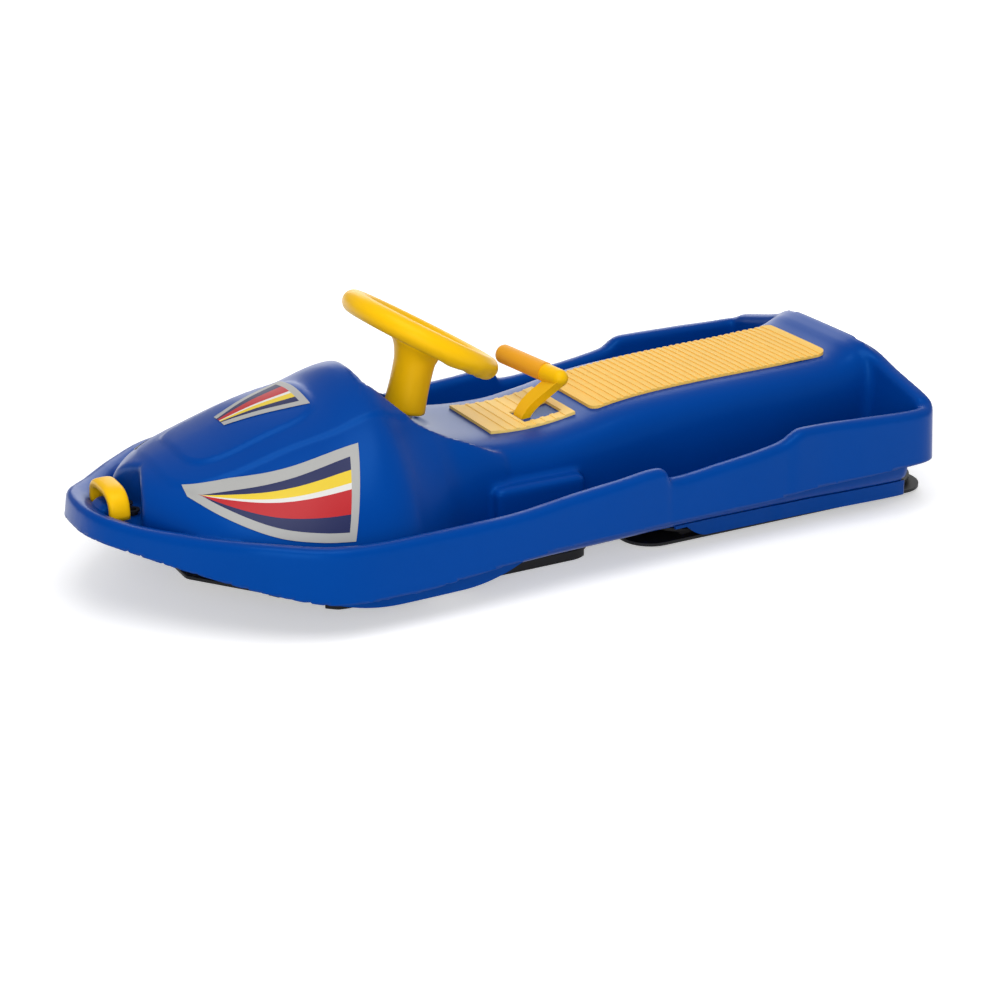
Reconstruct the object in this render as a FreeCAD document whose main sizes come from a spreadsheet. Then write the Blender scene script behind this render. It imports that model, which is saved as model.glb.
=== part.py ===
import FreeCAD, Part
import math
import os
import re
from FreeCAD import Placement, Rotation, Vector

# Steering sled for one child: a moulded shell on a turning front ski and a fixed rear runner.
# The nose points along +X, the rider's left is +Y, +Z is up and the ground is z = 0.
# All sizes are millimetres, all angles degrees.

SIZES = {
    # moulded shell, overall
    "half_length": 555.0,
    "half_width": 243.0,
    "rim_height": 142.0,
    "skirt_height": 62.0,
    "shell_wall": 4.0,
    "rim_width": 20.0,
    "rim_radius": 7.0,
    "skirt_flare": 4.0,
    "tray_inset": 32.0,
    "floor_top": 34.0,
    # keel walls under the floor
    "keel_inset": 28.0,
    "front_keel_low": 10.0,
    "front_keel_rear": 21.0,
    "front_keel_front": 360.0,
    "rear_keel_inset": 38.0,
    "rear_keel_low": 14.0,
    "rear_keel_front": 183.0,
    # seat ridge, hood, cockpit
    "ridge_half_width": 112.0,
    "ridge_top": 170.0,
    "hood_half_width": 212.0,
    "hood_top": 250.0,
    "cockpit_front": 204.0,
    "cockpit_half_width": 100.0,
    "cockpit_low": 100.0,
    # ledges for the heels on the ridge walls
    "ledge_length": 125.0,
    "ledge_front": 65.0,
    "ledge_reach": 20.0,
    "ledge_top": 98.0,
    "ledge_radius": 8.0,
    # nose pocket and tow handle
    "pocket_rear": 463.0,
    "pocket_front": 530.0,
    "pocket_half_width": 44.0,
    "pocket_floor": 112.0,
    "handle_x": 507.0,
    "handle_half_span": 31.0,
    "handle_rise": 27.0,
    "handle_bar": 7.5,
    "handle_bend": 20.0,
    "handle_seat_gap": 0.3,
    "guide_bore": 5.0,
    "guide_wall": 1.5,
    "guide_flange": 2.5,
    "guide_flange_thick": 2.0,
    "guide_y": 12.0,
    "guide_x": 488.0,
    # seat tread and brake cover
    "tread_proud": 3.0,
    "tread_bed": 0.2,
    "tread_rib": 1.0,
    "tread_rib_width": 5.0,
    "tread_pitch": 10.0,
    "tread_front": 108.0,
    "tread_rear": 465.0,
    "tread_front_half": 64.0,
    "tread_rear_half": 70.0,
    "tread_corner": 12.0,
    "cover_front": 34.0,
    "cover_rear": 87.0,
    "cover_half": 56.0,
    "cover_rib_pitch": 14.0,
    # steering axis and wheel
    "axis_x": 171.0,
    "axis_tilt": 14.5,
    "wheel_at": 275.8,
    "wheel_tilt": 30.8,
    "wheel_radius": 91.0,
    "wheel_tube": 14.5,
    "wheel_hub": 32.0,
    "wheel_hub_depth": 11.0,
    "wheel_hub_round": 5.0,
    "wheel_screw_at": 52.0,
    "wheel_screw_bite": 6.0,
    "spoke_hub_width": 22.0,
    "spoke_rim_width": 15.0,
    "spoke_depth": 8.5,
    "column_foot": 189.0,
    "column_foot_radius": 24.0,
    "column_top": 248.0,
    "column_top_radius": 21.5,
    "column_pin_at": 212.0,
    "boss_radius": 26.0,
    "boss_low": 150.0,
    "boss_top": 187.0,
    "upper_bush_radius": 12.0,
    "upper_bush_low": 160.0,
    "upper_bush_flange": 20.0,
    "upper_bush_flange_thick": 1.7,
    "shaft_radius": 8.0,
    "shaft_low": 17.0,
    "shaft_top": 244.0,
    "pin_radius": 3.0,
    "running_fit": 0.05,
    "press_room": 0.02,
    # lower bearing and ski hub
    "hub_boss_radius": 20.0,
    "hub_boss_top": 66.0,
    "hub_pin_at": 59.0,
    "pedestal_radius": 28.0,
    "pedestal_top": 24.0,
    "washer_radius": 24.0,
    "washer_thick": 2.0,
    "washer_gap": 0.1,
    "washer_room": 0.5,
    "collar_radius": 32.0,
    "collar_top": 52.0,
    "collar_foot_radius": 44.0,
    "collar_foot_top": 40.0,
    "pedestal_room": 1.5,
    "lower_bush_wall": 4.0,
    "hub_flange_radius": 48.0,
    "hub_flange_thick": 5.0,
    "hub_screw_circle": 40.0,
    "bridge_width": 56.0,
    "bridge_half": 203.0,
    "bridge_thick": 4.0,
    "bridge_screw_y": 192.0,
    "bridge_screw_dx": 16.0,
    # front ski
    "ski_front": 430.0,
    "ski_rear": 60.0,
    "ski_half": 160.0,
    "ski_top": 12.0,
    "ski_plate": 4.0,
    "ski_tip_rise": 10.0,
    "ski_tip_run": 120.0,
    "ski_bend": 300.0,
    "ski_corner": 60.0,
    "ski_rear_corner": 36.0,
    "ski_tip_corner": 14.0,
    "ski_rib": 9.0,
    "ski_rib_inner": 105.0,
    "ski_notch_half": 106.0,
    "ski_notch": 26.0,
    # rear runner
    "runner_front": 132.0,
    "runner_rear": 560.0,
    "runner_half": 172.0,
    "runner_top": 14.0,
    "runner_plate": 4.0,
    "runner_tip_rise": 10.0,
    "runner_tip_run": 60.0,
    "runner_tail_rise": 4.0,
    "runner_tail_run": 60.0,
    "runner_bend": 120.0,
    "runner_rib": 9.0,
    "runner_rib_inner": 105.0,
    "runner_corner": 50.0,
    "runner_notch_half": 62.0,
    "runner_notch": 22.0,
    "runner_boss_radius": 10.0,
    "runner_boss_y": 145.0,
    # screws
    "screw_radius": 2.5,
    "screw_head_radius": 5.0,
    "screw_head": 2.6,
    "screw_room": 0.1,
    "screw_bite": 12.0,
    # hand brake
    "brake_x": 25.0,
    "brake_y": 12.0,
    "brake_z": 120.0,
    "brake_pin_radius": 4.0,
    "lever_hub_radius": 10.0,
    "lever_hub_width": 24.0,
    "lever_arm_width": 22.0,
    "lever_arm_thick": 11.0,
    "lever_elbow_radius": 11.5,
    "elbow_back": 45.0,
    "elbow_left": 32.0,
    "elbow_up": 76.0,
    "lever_tail": 48.0,
    "claw_angle": 45.0,
    "claw_length": 150.0,
    "claw_width": 60.0,
    "claw_neck": 24.0,
    "claw_thick": 3.0,
    "claw_tooth": 14.0,
    "claw_head": 40.0,
    "rivet_radius": 2.5,
    "rivet_head": 4.5,
    "rivet_cap": 1.5,
    "grip_core_radius": 8.0,
    "grip_radius": 12.5,
    "grip_room": 0.3,
    "grip_length": 86.0,
    "grip_start": 26.0,
    "grip_ahead": 25.0,
    "grip_across": 109.0,
    "grip_up": 7.0,
    "cheek_thick": 3.0,
    "cheek_room": 0.5,
    "cheek_half": 14.0,
    "spring_room": 13.0,
    "bracket_top": 136.4,
    "bracket_thick": 3.0,
    "bracket_half_length": 34.0,
    "bracket_lug": 14.0,
    "bracket_screw_x": 26.0,
    "bracket_screw_bite": 3.0,
    "bracket_post_radius": 6.0,
    "clip_radius": 7.0,
    "clip_thick": 1.5,
    "pin_overhang": 4.0,
    "slot_rear": 38.0,
    "slot_front": 3.0,
    "slot_right": 15.0,
    "slot_left": 20.0,
    "cover_slot_rear": 52.0,
    "cover_slot_left": 27.0,
    "bracket_slot_rear": 28.0,
    "spring_wire": 1.0,
    "spring_coil": 5.3,
    "spring_pitch": 2.6,
    "spring_turns": 4.0,
    # common allowance for cuts
    "overrun": 20.0,
}

doc = FreeCAD.newDocument("steering_sled")
sheet = doc.addObject("Spreadsheet::Sheet", "dims")
for row, (alias, value) in enumerate(SIZES.items(), start=1):
    sheet.set(f"A{row}", alias)
    sheet.set(f"B{row}", str(value))
    sheet.setAlias(f"B{row}", alias)
doc.recompute()


def size(alias):
    """Value of one driving dimension."""
    return float(sheet.get(alias))


# Table of offsets of the hull, from the middle of the nose round the left side to the middle of
# the stern: x as share of half_length, y of half_width, rim of rim_height, skirt of skirt_height,
# foot of the tray wall as share of floor_top.
HULL_SHARES = [
    (1.000, 0.000, 0.986, 1.694, 3.18),
    (0.987, 0.185, 0.965, 1.645, 3.12),
    (0.919, 0.403, 0.894, 1.484, 2.83),
    (0.825, 0.638, 0.852, 1.258, 2.42),
    (0.721, 0.835, 0.824, 1.000, 1.88),
    (0.595, 0.971, 0.782, 0.726, 1.18),
    (0.450, 1.000, 0.761, 0.581, 0.76),
    (0.204, 0.984, 0.761, 0.565, 0.76),
    (0.000, 0.959, 0.824, 0.661, 0.76),
    (-0.108, 0.951, 0.859, 0.694, 0.76),
    (-0.187, 0.942, 0.887, 0.710, 0.76),
    (-0.209, 0.940, 0.873, 0.715, 0.76),
    (-0.223, 0.938, 0.782, 0.718, 0.76),
    (-0.245, 0.938, 0.771, 0.726, 0.76),
    (-0.360, 0.934, 0.810, 0.758, 0.76),
    (-0.495, 0.938, 0.880, 0.806, 0.76),
    (-0.526, 0.938, 0.908, 0.823, 0.76),
    (-0.562, 0.942, 0.986, 0.855, 0.76),
    (-0.595, 0.942, 1.000, 0.871, 0.76),
    (-0.757, 0.959, 0.986, 0.919, 0.76),
    (-0.838, 0.967, 0.972, 0.968, 0.76),
    (-0.897, 0.922, 0.979, 0.992, 0.76),
    (-0.924, 0.815, 1.042, 1.000, 0.76),
    (-0.928, 0.700, 1.127, 1.000, 0.76),
    (-0.928, 0.564, 1.211, 1.000, 0.76),
    (-0.928, 0.391, 1.303, 1.000, 0.76),
    (-0.928, 0.206, 1.324, 1.000, 0.76),
    (-0.928, 0.000, 1.331, 1.000, 0.76),
]

# Seat ridge: x as share of half_length, top as share of ridge_top.
RIDGE_SHARES = [
    (-0.922, 1.118), (-0.890, 1.098), (-0.861, 1.056), (-0.829, 1.026), (-0.645, 1.000),
    (-0.477, 0.988), (-0.315, 0.959), (-0.232, 0.924), (-0.157, 0.876), (-0.036, 0.829),
    (0.061, 0.841), (0.162, 0.894), (0.234, 0.971), (0.360, 1.147), (0.415, 1.235),
]
RIDGE_POWER = 6.0

# Hood: x as share of half_length, half width of hood_half_width, spring line, crest and foot of
# hood_top, and the power of the arch.
HOOD_SHARES = [
    (0.0685, 0.528, 0.136, 0.660, 0.120, 10.0),
    (0.191, 0.613, 0.136, 0.820, 0.120, 2.7),
    (0.252, 0.731, 0.136, 0.888, 0.120, 2.0),
    (0.324, 0.896, 0.136, 0.972, 0.120, 1.65),
    (0.368, 0.967, 0.136, 0.996, 0.120, 1.7),
    (0.469, 1.000, 0.144, 0.984, 0.120, 1.8),
    (0.595, 0.967, 0.240, 0.940, 0.136, 1.75),
    (0.708, 0.877, 0.340, 0.860, 0.248, 1.7),
    (0.823, 0.689, 0.408, 0.776, 0.328, 1.7),
    (0.901, 0.453, 0.432, 0.688, 0.376, 1.8),
    (0.964, 0.226, 0.448, 0.608, 0.424, 2.0),
]
ARCH_STEPS = 18
ARCH_SAMPLES = 400

# Cockpit edge in plan: x as share of cockpit_front, y of cockpit_half_width.
COCKPIT_SHARES = [
    (1.000, 0.000), (0.980, 0.450), (0.882, 0.650), (0.794, 0.770), (0.686, 0.850),
    (0.520, 0.900), (0.397, 0.950), (0.186, 1.000), (-0.100, 1.000),
]


# Where the floor's edge lies in the tray wall, the level share of the front keel wall's length, the
# reach of the rear keel wall along the hull and the root of the heel ledge in the ridge wall.
FLOOR_EDGE_SHARE = 0.7
KEEL_LEVEL_SHARE = 0.6
REAR_KEEL_SHARE = 0.85
LEDGE_ROOT_SHARE = 0.9

# Posts of the rear runner along the hull.
POST_SHARES = (0.42, 0.63, 0.84)

# Ski and runner: places along their length and the width of the ski's tip.
SKI_TIP_SHARE = 0.14
SKI_SHOULDER_SHARE = 0.70
SKI_RIB_REAR_SHARE = 0.75
SKI_RIB_LEVEL_SHARE = 0.68
SKI_RIB_FRONT_SHARE = 0.95
RUNNER_RIB_FRONT_SHARE = 0.35
RUNNER_RIB_REAR_SHARE = 0.94

# Wheel, grip and claw.
THROAT_SHARE = 0.9
GRIP_ROUND_SHARE = 0.6
RIVET_SHARES = (0.5, 0.85)
CLAW_SHOULDER_SHARE = 0.6

# Lever path above the pivot: places from the pivot as shares of the elbow's reach back, to the
# left and up.
LEVER_SHARES = [
    (0.0, 0.0, 0.0), (0.14, 0.0, 0.20), (0.28, 0.03, 0.38), (0.48, 0.22, 0.57), (0.73, 0.56, 0.77),
    (1.0, 1.0, 1.0),
]

# Chords of a rolled edge, stations of the straight stern and sides of the spring's wire.
ROLL_CHORDS = 3
STERN_ROWS = 3
WIRE_SIDES = 6


def rule(text):
    """Rule for a property, with each size named by its cell of the sheet."""
    return re.sub(r"[a-z_]+", lambda word: f"dims.{word[0]}" if word[0] in SIZES else word[0], text)


def stand(foot, way):
    """Placement on a point with the Z axis along a direction."""
    side = Vector(0, 0, 1) if way.y else Vector(way.z, 0, -way.x)
    return Placement(foot, Rotation(side, Vector(), way, "ZXY"))


def cylinder(label, radius, length, foot, way=Vector(0, 0, 1)):
    """Cylinder of the document with rules for its radius and length."""
    item = doc.addObject("Part::Cylinder", label)
    item.setExpression("Radius", rule(radius))
    item.setExpression("Height", rule(length))
    item.Placement = stand(foot, way)
    return item


def block(label, length, width, height, corner):
    """Box of the document with rules for its sides."""
    item = doc.addObject("Part::Box", label)
    for side, text in (("Length", length), ("Width", width), ("Height", height)):
        item.setExpression(side, rule(text))
    item.Placement = Placement(corner, Rotation())
    return item


def combined(kind, label, items):
    """Union, common part or group of objects of the document."""
    item = doc.addObject(f"Part::{kind}", label)
    setattr(item, "Links" if kind == "Compound" else "Shapes", items)
    return item


def fused(label, items, refine=False):
    """Union of objects, if wanted without seams between their faces."""
    item = combined("MultiFuse", label, items)
    item.Refine = refine
    return item


def cut(label, base, tools):
    """Object less one or more others."""
    item = doc.addObject("Part::Cut", label)
    item.Base = base
    item.Tool = tools[0] if len(tools) == 1 else fused(f"{label}_cuts", tools)
    item.Refine = False
    return item


def on_axis(label, radius, length, low):
    """Cylinder of the document on the steering axis, up from a place on it."""
    return cylinder(label, radius, length, axis_point(low), axis_direction())


def cross_pin(label, radius, length, along):
    """Cylinder of the document across the steering axis, with its middle on it."""
    item = cylinder(label, radius, length, axis_point(along), Vector(0, 1, 0))
    item.setExpression("Placement.Base.y", rule(f"-({length}) / 2"))
    return item


def pivot_ring(label, radius, length, low):
    """Cylinder of the document on the brake's pivot, leftward from a place on it."""
    return cylinder(label, radius, length, Vector(-size("brake_x"), low, size("brake_z")), Vector(0, 1, 0))


def hole_row(label, length, places, low):
    """Upright screw holes of the document, up from a height."""
    return [cylinder(f"{label}_{i}", "screw_radius + screw_room", length, Vector(place.x, place.y, low))
            for i, place in enumerate(places)]


def mirrored(shape):
    """Copy of a shape on the other side of the middle plane."""
    return shape.mirror(Vector(0, 0, 0), Vector(0, 1, 0))


def rounded_wire(corners, radii):
    """Closed wire through corners, each rounded by an arc of its radius."""
    ends = []
    count = len(corners)
    for i, (corner, radius) in enumerate(zip(corners, radii)):
        if radius <= 0:
            ends.append((corner, None, corner))
            continue
        back = (corners[i - 1] - corner).normalize()
        ahead = (corners[(i + 1) % count] - corner).normalize()
        half = math.acos(max(-1.0, min(1.0, back.dot(ahead)))) / 2
        reach = radius / math.tan(half)
        middle = corner + (back + ahead).normalize() * (radius / math.sin(half) - radius)
        ends.append((corner + back * reach, middle, corner + ahead * reach))
    edges = []
    for i, (start, middle, end) in enumerate(ends):
        if middle is not None:
            edges.append(Part.Arc(start, middle, end).toShape())
        edges.append(Part.LineSegment(end, ends[(i + 1) % count][0]).toShape())
    return Part.Wire(edges)


def spline(points):
    """Smooth edge through points."""
    curve = Part.BSplineCurve()
    curve.interpolate(points)
    return curve.toShape()


def prism(wire, rise):
    """Solid made by lifting a closed flat wire along Z, or along any given vector."""
    along = rise if isinstance(rise, Vector) else Vector(0, 0, rise)
    return Part.Face(wire).extrude(along)


def slab(low_x, high_x, half_y, low_z, high_z):
    """Box across the middle plane."""
    corner = Vector(low_x, -half_y, low_z)
    return Part.makeBox(high_x - low_x, 2 * half_y, high_z - low_z, corner)


def hull_stations():
    """Outline points of the hull with their inward direction and heights."""
    points = [Vector(row[0] * size("half_length"), row[1] * size("half_width"), 0)
              for row in HULL_SHARES]
    bow = [Vector(p.x, -p.y, 0) for p in points[3:0:-1]]
    stern = [Vector(p.x, -p.y, 0) for p in points[-2:-5:-1]]
    curve = Part.BSplineCurve()
    curve.interpolate(bow + points + stern)
    stations = []
    for point, row in zip(points, HULL_SHARES):
        along = curve.tangent(curve.parameter(point))[0]
        inward = Vector(-along.y, along.x if point.y else 0, 0).normalize()
        rim = row[2] * size("rim_height")
        stations.append((point, inward, rim, row[3] * size("skirt_height"),
                         row[4] * size("floor_top")))
    return stations


def eased(corners, radius):
    """Corners with the inner ones of a folded strip rounded by short chords."""
    points = corners[:1]
    for before, corner, after in zip(corners, corners[1:], corners[2:]):
        back = (before - corner).normalize()
        ahead = (after - corner).normalize()
        half = math.acos(back.dot(ahead)) / 2
        middle = corner + (back + ahead).normalize() * (radius / math.sin(half))
        arm = corner + back * (radius / math.tan(half)) - middle
        far = corner + ahead * (radius / math.tan(half)) - middle
        turn = math.pi - 2 * half
        for i in range(ROLL_CHORDS + 1):
            share = i / ROLL_CHORDS
            spoke_end = arm * math.sin(turn * (1 - share)) + far * math.sin(turn * share)
            points.append(middle + spoke_end * (1 / math.sin(turn)))
    return points + corners[-1:]


def rim_ring():
    """Left half of the skirt, rolled rim and tray wall: a folded sheet round the hull, in two lengths."""
    wall, width, inset = size("shell_wall"), size("rim_width"), size("tray_inset")
    flare, outside = size("skirt_flare"), size("rim_radius")
    wires = []
    for point, inward, rim, skirt, foot in hull_stations():
        outer = [(-flare, skirt), (0, rim), (width, rim), (inset, foot)]
        inner = [(wall - flare, skirt), (wall, rim - wall), (width - wall, rim - wall), (inset - wall, foot)]
        edges = [[point + inward * reach + Vector(0, 0, height) for reach, height in side]
                 for side in (outer, inner)]
        loop = eased(edges[0], outside) + eased(edges[1], outside - wall)[::-1]
        wires.append(Part.makePolygon(loop + loop[:1]))
    sides = Part.makeLoft(wires[:-STERN_ROWS], True, False)
    stern = Part.makeLoft(wires[-STERN_ROWS - 1:], True, True)
    return [sides, stern]


def inset_points(inset, low_x, high_x, height):
    """Points of the outline moved inward, between two places along the hull."""
    return [point + inward * inset + Vector(0, 0, height)
            for point, inward, _, _, _ in hull_stations() if low_x <= point.x <= high_x]


def tray_floor():
    """Left half of the flat floor of the foot trays, from the hood to the stern."""
    wall = size("shell_wall")
    low = size("floor_top") - wall
    inset = size("tray_inset") - wall * FLOOR_EDGE_SHARE
    left = inset_points(inset, -size("half_length"), size("front_keel_front"), low)
    corners = [left[-1], Vector(left[0].x, 0, low), left[0]]
    ends = [Part.LineSegment(start, end).toShape() for start, end in zip(corners, corners[1:])]
    return prism(Part.Wire([spline(left)] + ends), wall)


def keel_strip(inset, low_x, high_x, low):
    """Left keel wall, a strip that follows the outline under the floor."""
    wall = size("shell_wall")
    top = size("floor_top") - wall / 2
    outer = inset_points(inset, low_x, high_x, low)
    inner = inset_points(inset + wall, low_x, high_x, low)
    first = Part.LineSegment(outer[0], inner[0]).toShape()
    last = Part.LineSegment(outer[-1], inner[-1]).toShape()
    return prism(Part.Wire([spline(outer), last, spline(inner), first]), top - low)


def keel_walls():
    """Left keel walls: one beside the ski, one beside the rear runner."""
    low = size("front_keel_low")
    top = size("floor_top")
    rear_end, front_end = size("front_keel_rear"), size("front_keel_front")
    strip = keel_strip(size("keel_inset"), -size("rear_keel_front"), front_end, low)
    slope = rear_end + (front_end - rear_end) * KEEL_LEVEL_SHARE
    side = [Vector(x, 0, z) for x, z in ((rear_end, low), (slope, low), (front_end, top), (rear_end, top))]
    profile = prism(Part.makePolygon(side + side[:1]), Vector(0, size("half_width"), 0))
    rear = keel_strip(size("rear_keel_inset"), -size("half_length") * REAR_KEEL_SHARE,
                      -size("rear_keel_front"), size("rear_keel_low"))
    return [strip.common(profile), rear]


def arch_wire(x, half, spring, crest, foot, power):
    """Closed left half of a section across the sled: an upright wall under a half arch."""
    dense = []
    for i in range(ARCH_SAMPLES + 1):
        angle = math.pi / 2 * i / ARCH_SAMPLES
        across, up = math.sin(angle), math.cos(angle)
        height = spring + (crest - spring) * abs(up) ** (2 / power)
        dense.append(Vector(x, half * across ** (2 / power), height))
    run = [0.0]
    for before, after in zip(dense, dense[1:]):
        run.append(run[-1] + before.distanceToPoint(after))
    points = []
    place = 0
    for i in range(ARCH_STEPS + 1):
        goal = run[-1] * i / ARCH_STEPS
        while place < ARCH_SAMPLES - 1 and run[place + 1] < goal:
            place += 1
        part = (goal - run[place]) / (run[place + 1] - run[place])
        points.append(dense[place] + (dense[place + 1] - dense[place]) * part)
    curve = Part.BSplineCurve()
    curve.interpolate(points, Parameters=[i / ARCH_STEPS for i in range(ARCH_STEPS + 1)],
                      InitialTangent=Vector(0, 1, 0), FinalTangent=Vector(0, 0, -1))
    corners = [points[-1], Vector(x, half, foot), Vector(x, 0, foot), points[0]]
    walls = [Part.LineSegment(start, end).toShape() for start, end in zip(corners, corners[1:])]
    return Part.Wire([curve.toShape()] + walls)


def ridge(inset=0.0, foot=None):
    """Seat ridge with its faces moved inward by inset."""
    spring = size("floor_top")
    half = size("ridge_half_width") - inset
    base = spring - size("shell_wall") if foot is None else foot
    wires = []
    for i, (x_share, top_share) in enumerate(RIDGE_SHARES):
        x = x_share * size("half_length") + (inset if i == 0 else 0)
        top = top_share * size("ridge_top") - inset
        wires.append(arch_wire(x, half, spring, top, base, RIDGE_POWER))
    return Part.makeLoft(wires, True, False)


def hood(inset=0.0, foot=None):
    """Hood with its faces moved inward by inset."""
    wires = []
    for i, (x_share, half_share, spring_share, crest_share, foot_share, power) in enumerate(HOOD_SHARES):
        ends = inset if i == 0 else -inset if i == len(HOOD_SHARES) - 1 else 0
        base = foot_share * size("hood_top") if foot is None else foot
        wires.append(arch_wire(x_share * size("half_length") + ends,
                               half_share * size("hood_half_width") - inset,
                               spring_share * size("hood_top"),
                               crest_share * size("hood_top") - inset, base, power))
    return Part.makeLoft(wires, True, False)


def cockpit(grow=0.0):
    """Left half of the space above the cockpit edge, open to the seat."""
    front = size("cockpit_front") + grow
    half = size("cockpit_half_width") + grow
    left = [Vector(x * front, y * half, size("cockpit_low")) for x, y in COCKPIT_SHARES]
    right = [Vector(p.x, -p.y, p.z) for p in left[:0:-1]]
    back = Part.LineSegment(left[-1], right[0]).toShape()
    return prism(Part.Wire([spline(right + left), back]), size("hood_top"))


def nose_pocket(grow=0.0):
    """Space of the tow handle's pocket in the nose."""
    middle = (size("pocket_front") + size("pocket_rear")) / 2
    length = (size("pocket_front") - size("pocket_rear")) / 2 + grow
    half = size("pocket_half_width") + grow
    centre = Vector(middle, 0, size("pocket_floor") - grow)
    oval = Part.Ellipse(centre + Vector(0, half, 0), centre + Vector(length, 0, 0), centre)
    return prism(Part.Wire([oval.toShape()]), size("hood_top"))


def axis_point(along):
    """Point on the steering axis, measured up from the ground."""
    tilt = math.radians(size("axis_tilt"))
    return Vector(size("axis_x") - along * math.sin(tilt), 0, along * math.cos(tilt))


def axis_direction():
    """Direction of the steering axis, upward."""
    tilt = math.radians(size("axis_tilt"))
    return Vector(-math.sin(tilt), 0, math.cos(tilt))


def axis_rod(radius, low, top):
    """Cylinder on the steering axis."""
    return Part.makeCylinder(radius, top - low, axis_point(low), axis_direction())


def axis_tube(label, outer, inner, length, low):
    """Tube of the document on the steering axis."""
    blank = on_axis(f"{label}_blank", outer, length, low)
    bore = on_axis(f"{label}_bore", inner, f"{length} + 2 * overrun", low - size("overrun"))
    return cut(label, blank, [bore])


def runner_boss_places():
    """Places of the posts that carry the rear runner."""
    y = size("runner_boss_y")
    return [Vector(-share * size("half_length"), side * y, 0) for share in POST_SHARES for side in (1, -1)]


def seat_top(x):
    """Height of the seat on the middle plane at a place along the sled."""
    rows = [(row[0] * size("half_length"), row[1] * size("ridge_top")) for row in RIDGE_SHARES]
    for (x_low, low), (x_high, high) in zip(rows, rows[1:]):
        if x_low <= x <= x_high:
            return low + (high - low) * (x - x_low) / (x_high - x_low)
    raise ValueError("place is off the seat")


def heel_ledge():
    """Left ledge for the heel on the ridge wall."""
    inner = size("ridge_half_width") * LEDGE_ROOT_SHARE
    outer = size("ridge_half_width") + size("ledge_reach")
    low = size("floor_top") - size("shell_wall")
    block = Part.makeBox(size("ledge_length"), outer - inner, size("ledge_top") - low,
                         Vector(size("ledge_front") - size("ledge_length"), inner, low))
    edges = [edge for edge in block.Edges
             if edge.CenterOfMass.y > (inner + outer) / 2 and edge.CenterOfMass.z > size("floor_top")]
    return block.makeFillet(size("ledge_radius"), edges)


def screw_holes(places, low, depth):
    """Pilot holes for screws that go up from a height."""
    radius = size("screw_radius") + size("screw_room")
    return [Part.makeCylinder(radius, depth, Vector(p.x, p.y, low)) for p in places]


def bridge_screw_places():
    """Places of the screws that hold the steering bridge under the floor."""
    middle = axis_point(size("floor_top")).x
    return [Vector(middle + end * size("bridge_screw_dx"), side * size("bridge_screw_y"), 0)
            for end in (1, -1) for side in (1, -1)]


def bracket_screw_places():
    """Places of the screws that hold the brake bracket under the seat."""
    middle = size("brake_y") + size("spring_room") / 2
    half = size("lever_hub_width") / 2 + size("spring_room") / 2 + size("bracket_lug") / 2
    return [Vector(-size("brake_x") + end * size("bracket_screw_x"), middle + side * half, 0)
            for end in (1, -1) for side in (1, -1)]


def lever_slot(rear, left, low, high):
    """Slot that the brake lever passes through."""
    right = size("slot_right")
    corner = Vector(-size("brake_x") - rear, size("brake_y") - right, low)
    return Part.makeBox(rear + size("slot_front"), right + left, high - low, corner)


def joined_halves(left):
    """One solid from a left half and its mirror image, sewn along the middle plane."""
    skin = [face for face in left.Faces
            if max(abs(corner.Y) for corner in face.Vertexes) > size("press_room")]
    sheet_shell = Part.Shell(skin + [mirrored(face) for face in skin])
    sheet_shell.sewShape()
    return Part.Solid(sheet_shell)


def body_shell():
    """One-piece moulded shell: skirt, rim, trays, seat ridge, hood, keel walls and posts."""
    wall = size("shell_wall")
    below = -size("overrun")
    post_low = size("runner_top")
    posts = [Part.makeCylinder(size("runner_boss_radius"), size("floor_top") - wall / 2 - post_low,
                               Vector(p.x, p.y, post_low)) for p in runner_boss_places() if p.y > 0]
    lugs = [Part.makeCylinder(size("bracket_post_radius"), seat_top(p.x) - wall / 2 - size("bracket_top"),
                              Vector(p.x, p.y, size("bracket_top"))) for p in bracket_screw_places()]
    hollow = hood(wall, below).cut([cockpit(wall), nose_pocket(wall)])
    ring, stern = rim_ring()
    forms = [stern, tray_floor(), ridge(), hood().cut(cockpit()), heel_ledge()]
    left = ring.fuse(forms + keel_walls() + posts)
    left = left.cut([ridge(wall, below), hollow, nose_pocket()])
    boss = axis_rod(size("boss_radius"), size("boss_low"), size("boss_top"))
    shell = joined_halves(left).fuse([boss] + lugs)
    holes = [axis_rod(size("upper_bush_radius") + size("press_room"), size("boss_low") - size("overrun"),
                      size("boss_top") + size("overrun"))]
    holes += screw_holes(runner_boss_places(), post_low + below, size("screw_bite") - below)
    holes += screw_holes(bridge_screw_places(), size("floor_top") - wall + below,
                         wall - size("screw_room") * 4 - below)
    holes += screw_holes(bracket_screw_places(), size("bracket_top"), size("bracket_screw_bite"))
    holes += [Part.makeCylinder(size("guide_bore") + size("guide_wall") + size("press_room"),
                                wall + 2 * size("overrun"), place - Vector(0, 0, wall + size("overrun")))
              for place in guide_places()]
    holes.append(lever_slot(size("slot_rear"), size("slot_left"), size("brake_z"), size("ridge_top")))
    return shell.cut(holes)


def guide_places():
    """Places of the tow cord guides on the floor of the nose pocket."""
    return [Vector(size("guide_x"), side * size("guide_y"), size("pocket_floor")) for side in (1, -1)]


def seat_layer(plan, proud, bed):
    """Left half of a layer that follows the seat, inside a plan shape."""
    return ridge(-proud).common(plan).cut(ridge(-bed))


def grooves(low_x, high_x, pitch, width, half, proud):
    """Cross grooves that leave ribs standing on a layer of the seat."""
    count = int((high_x - low_x) / pitch)
    first = low_x + ((high_x - low_x) - count * pitch + pitch - width) / 2
    top = RIDGE_SHARES[0][1] * size("ridge_top") + size("overrun")
    bars = [Part.makeBox(width, half, top - size("brake_z"), Vector(first + i * pitch, 0, size("brake_z")))
            for i in range(count)]
    return Part.makeCompound(bars).cut(ridge(-proud))


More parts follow.
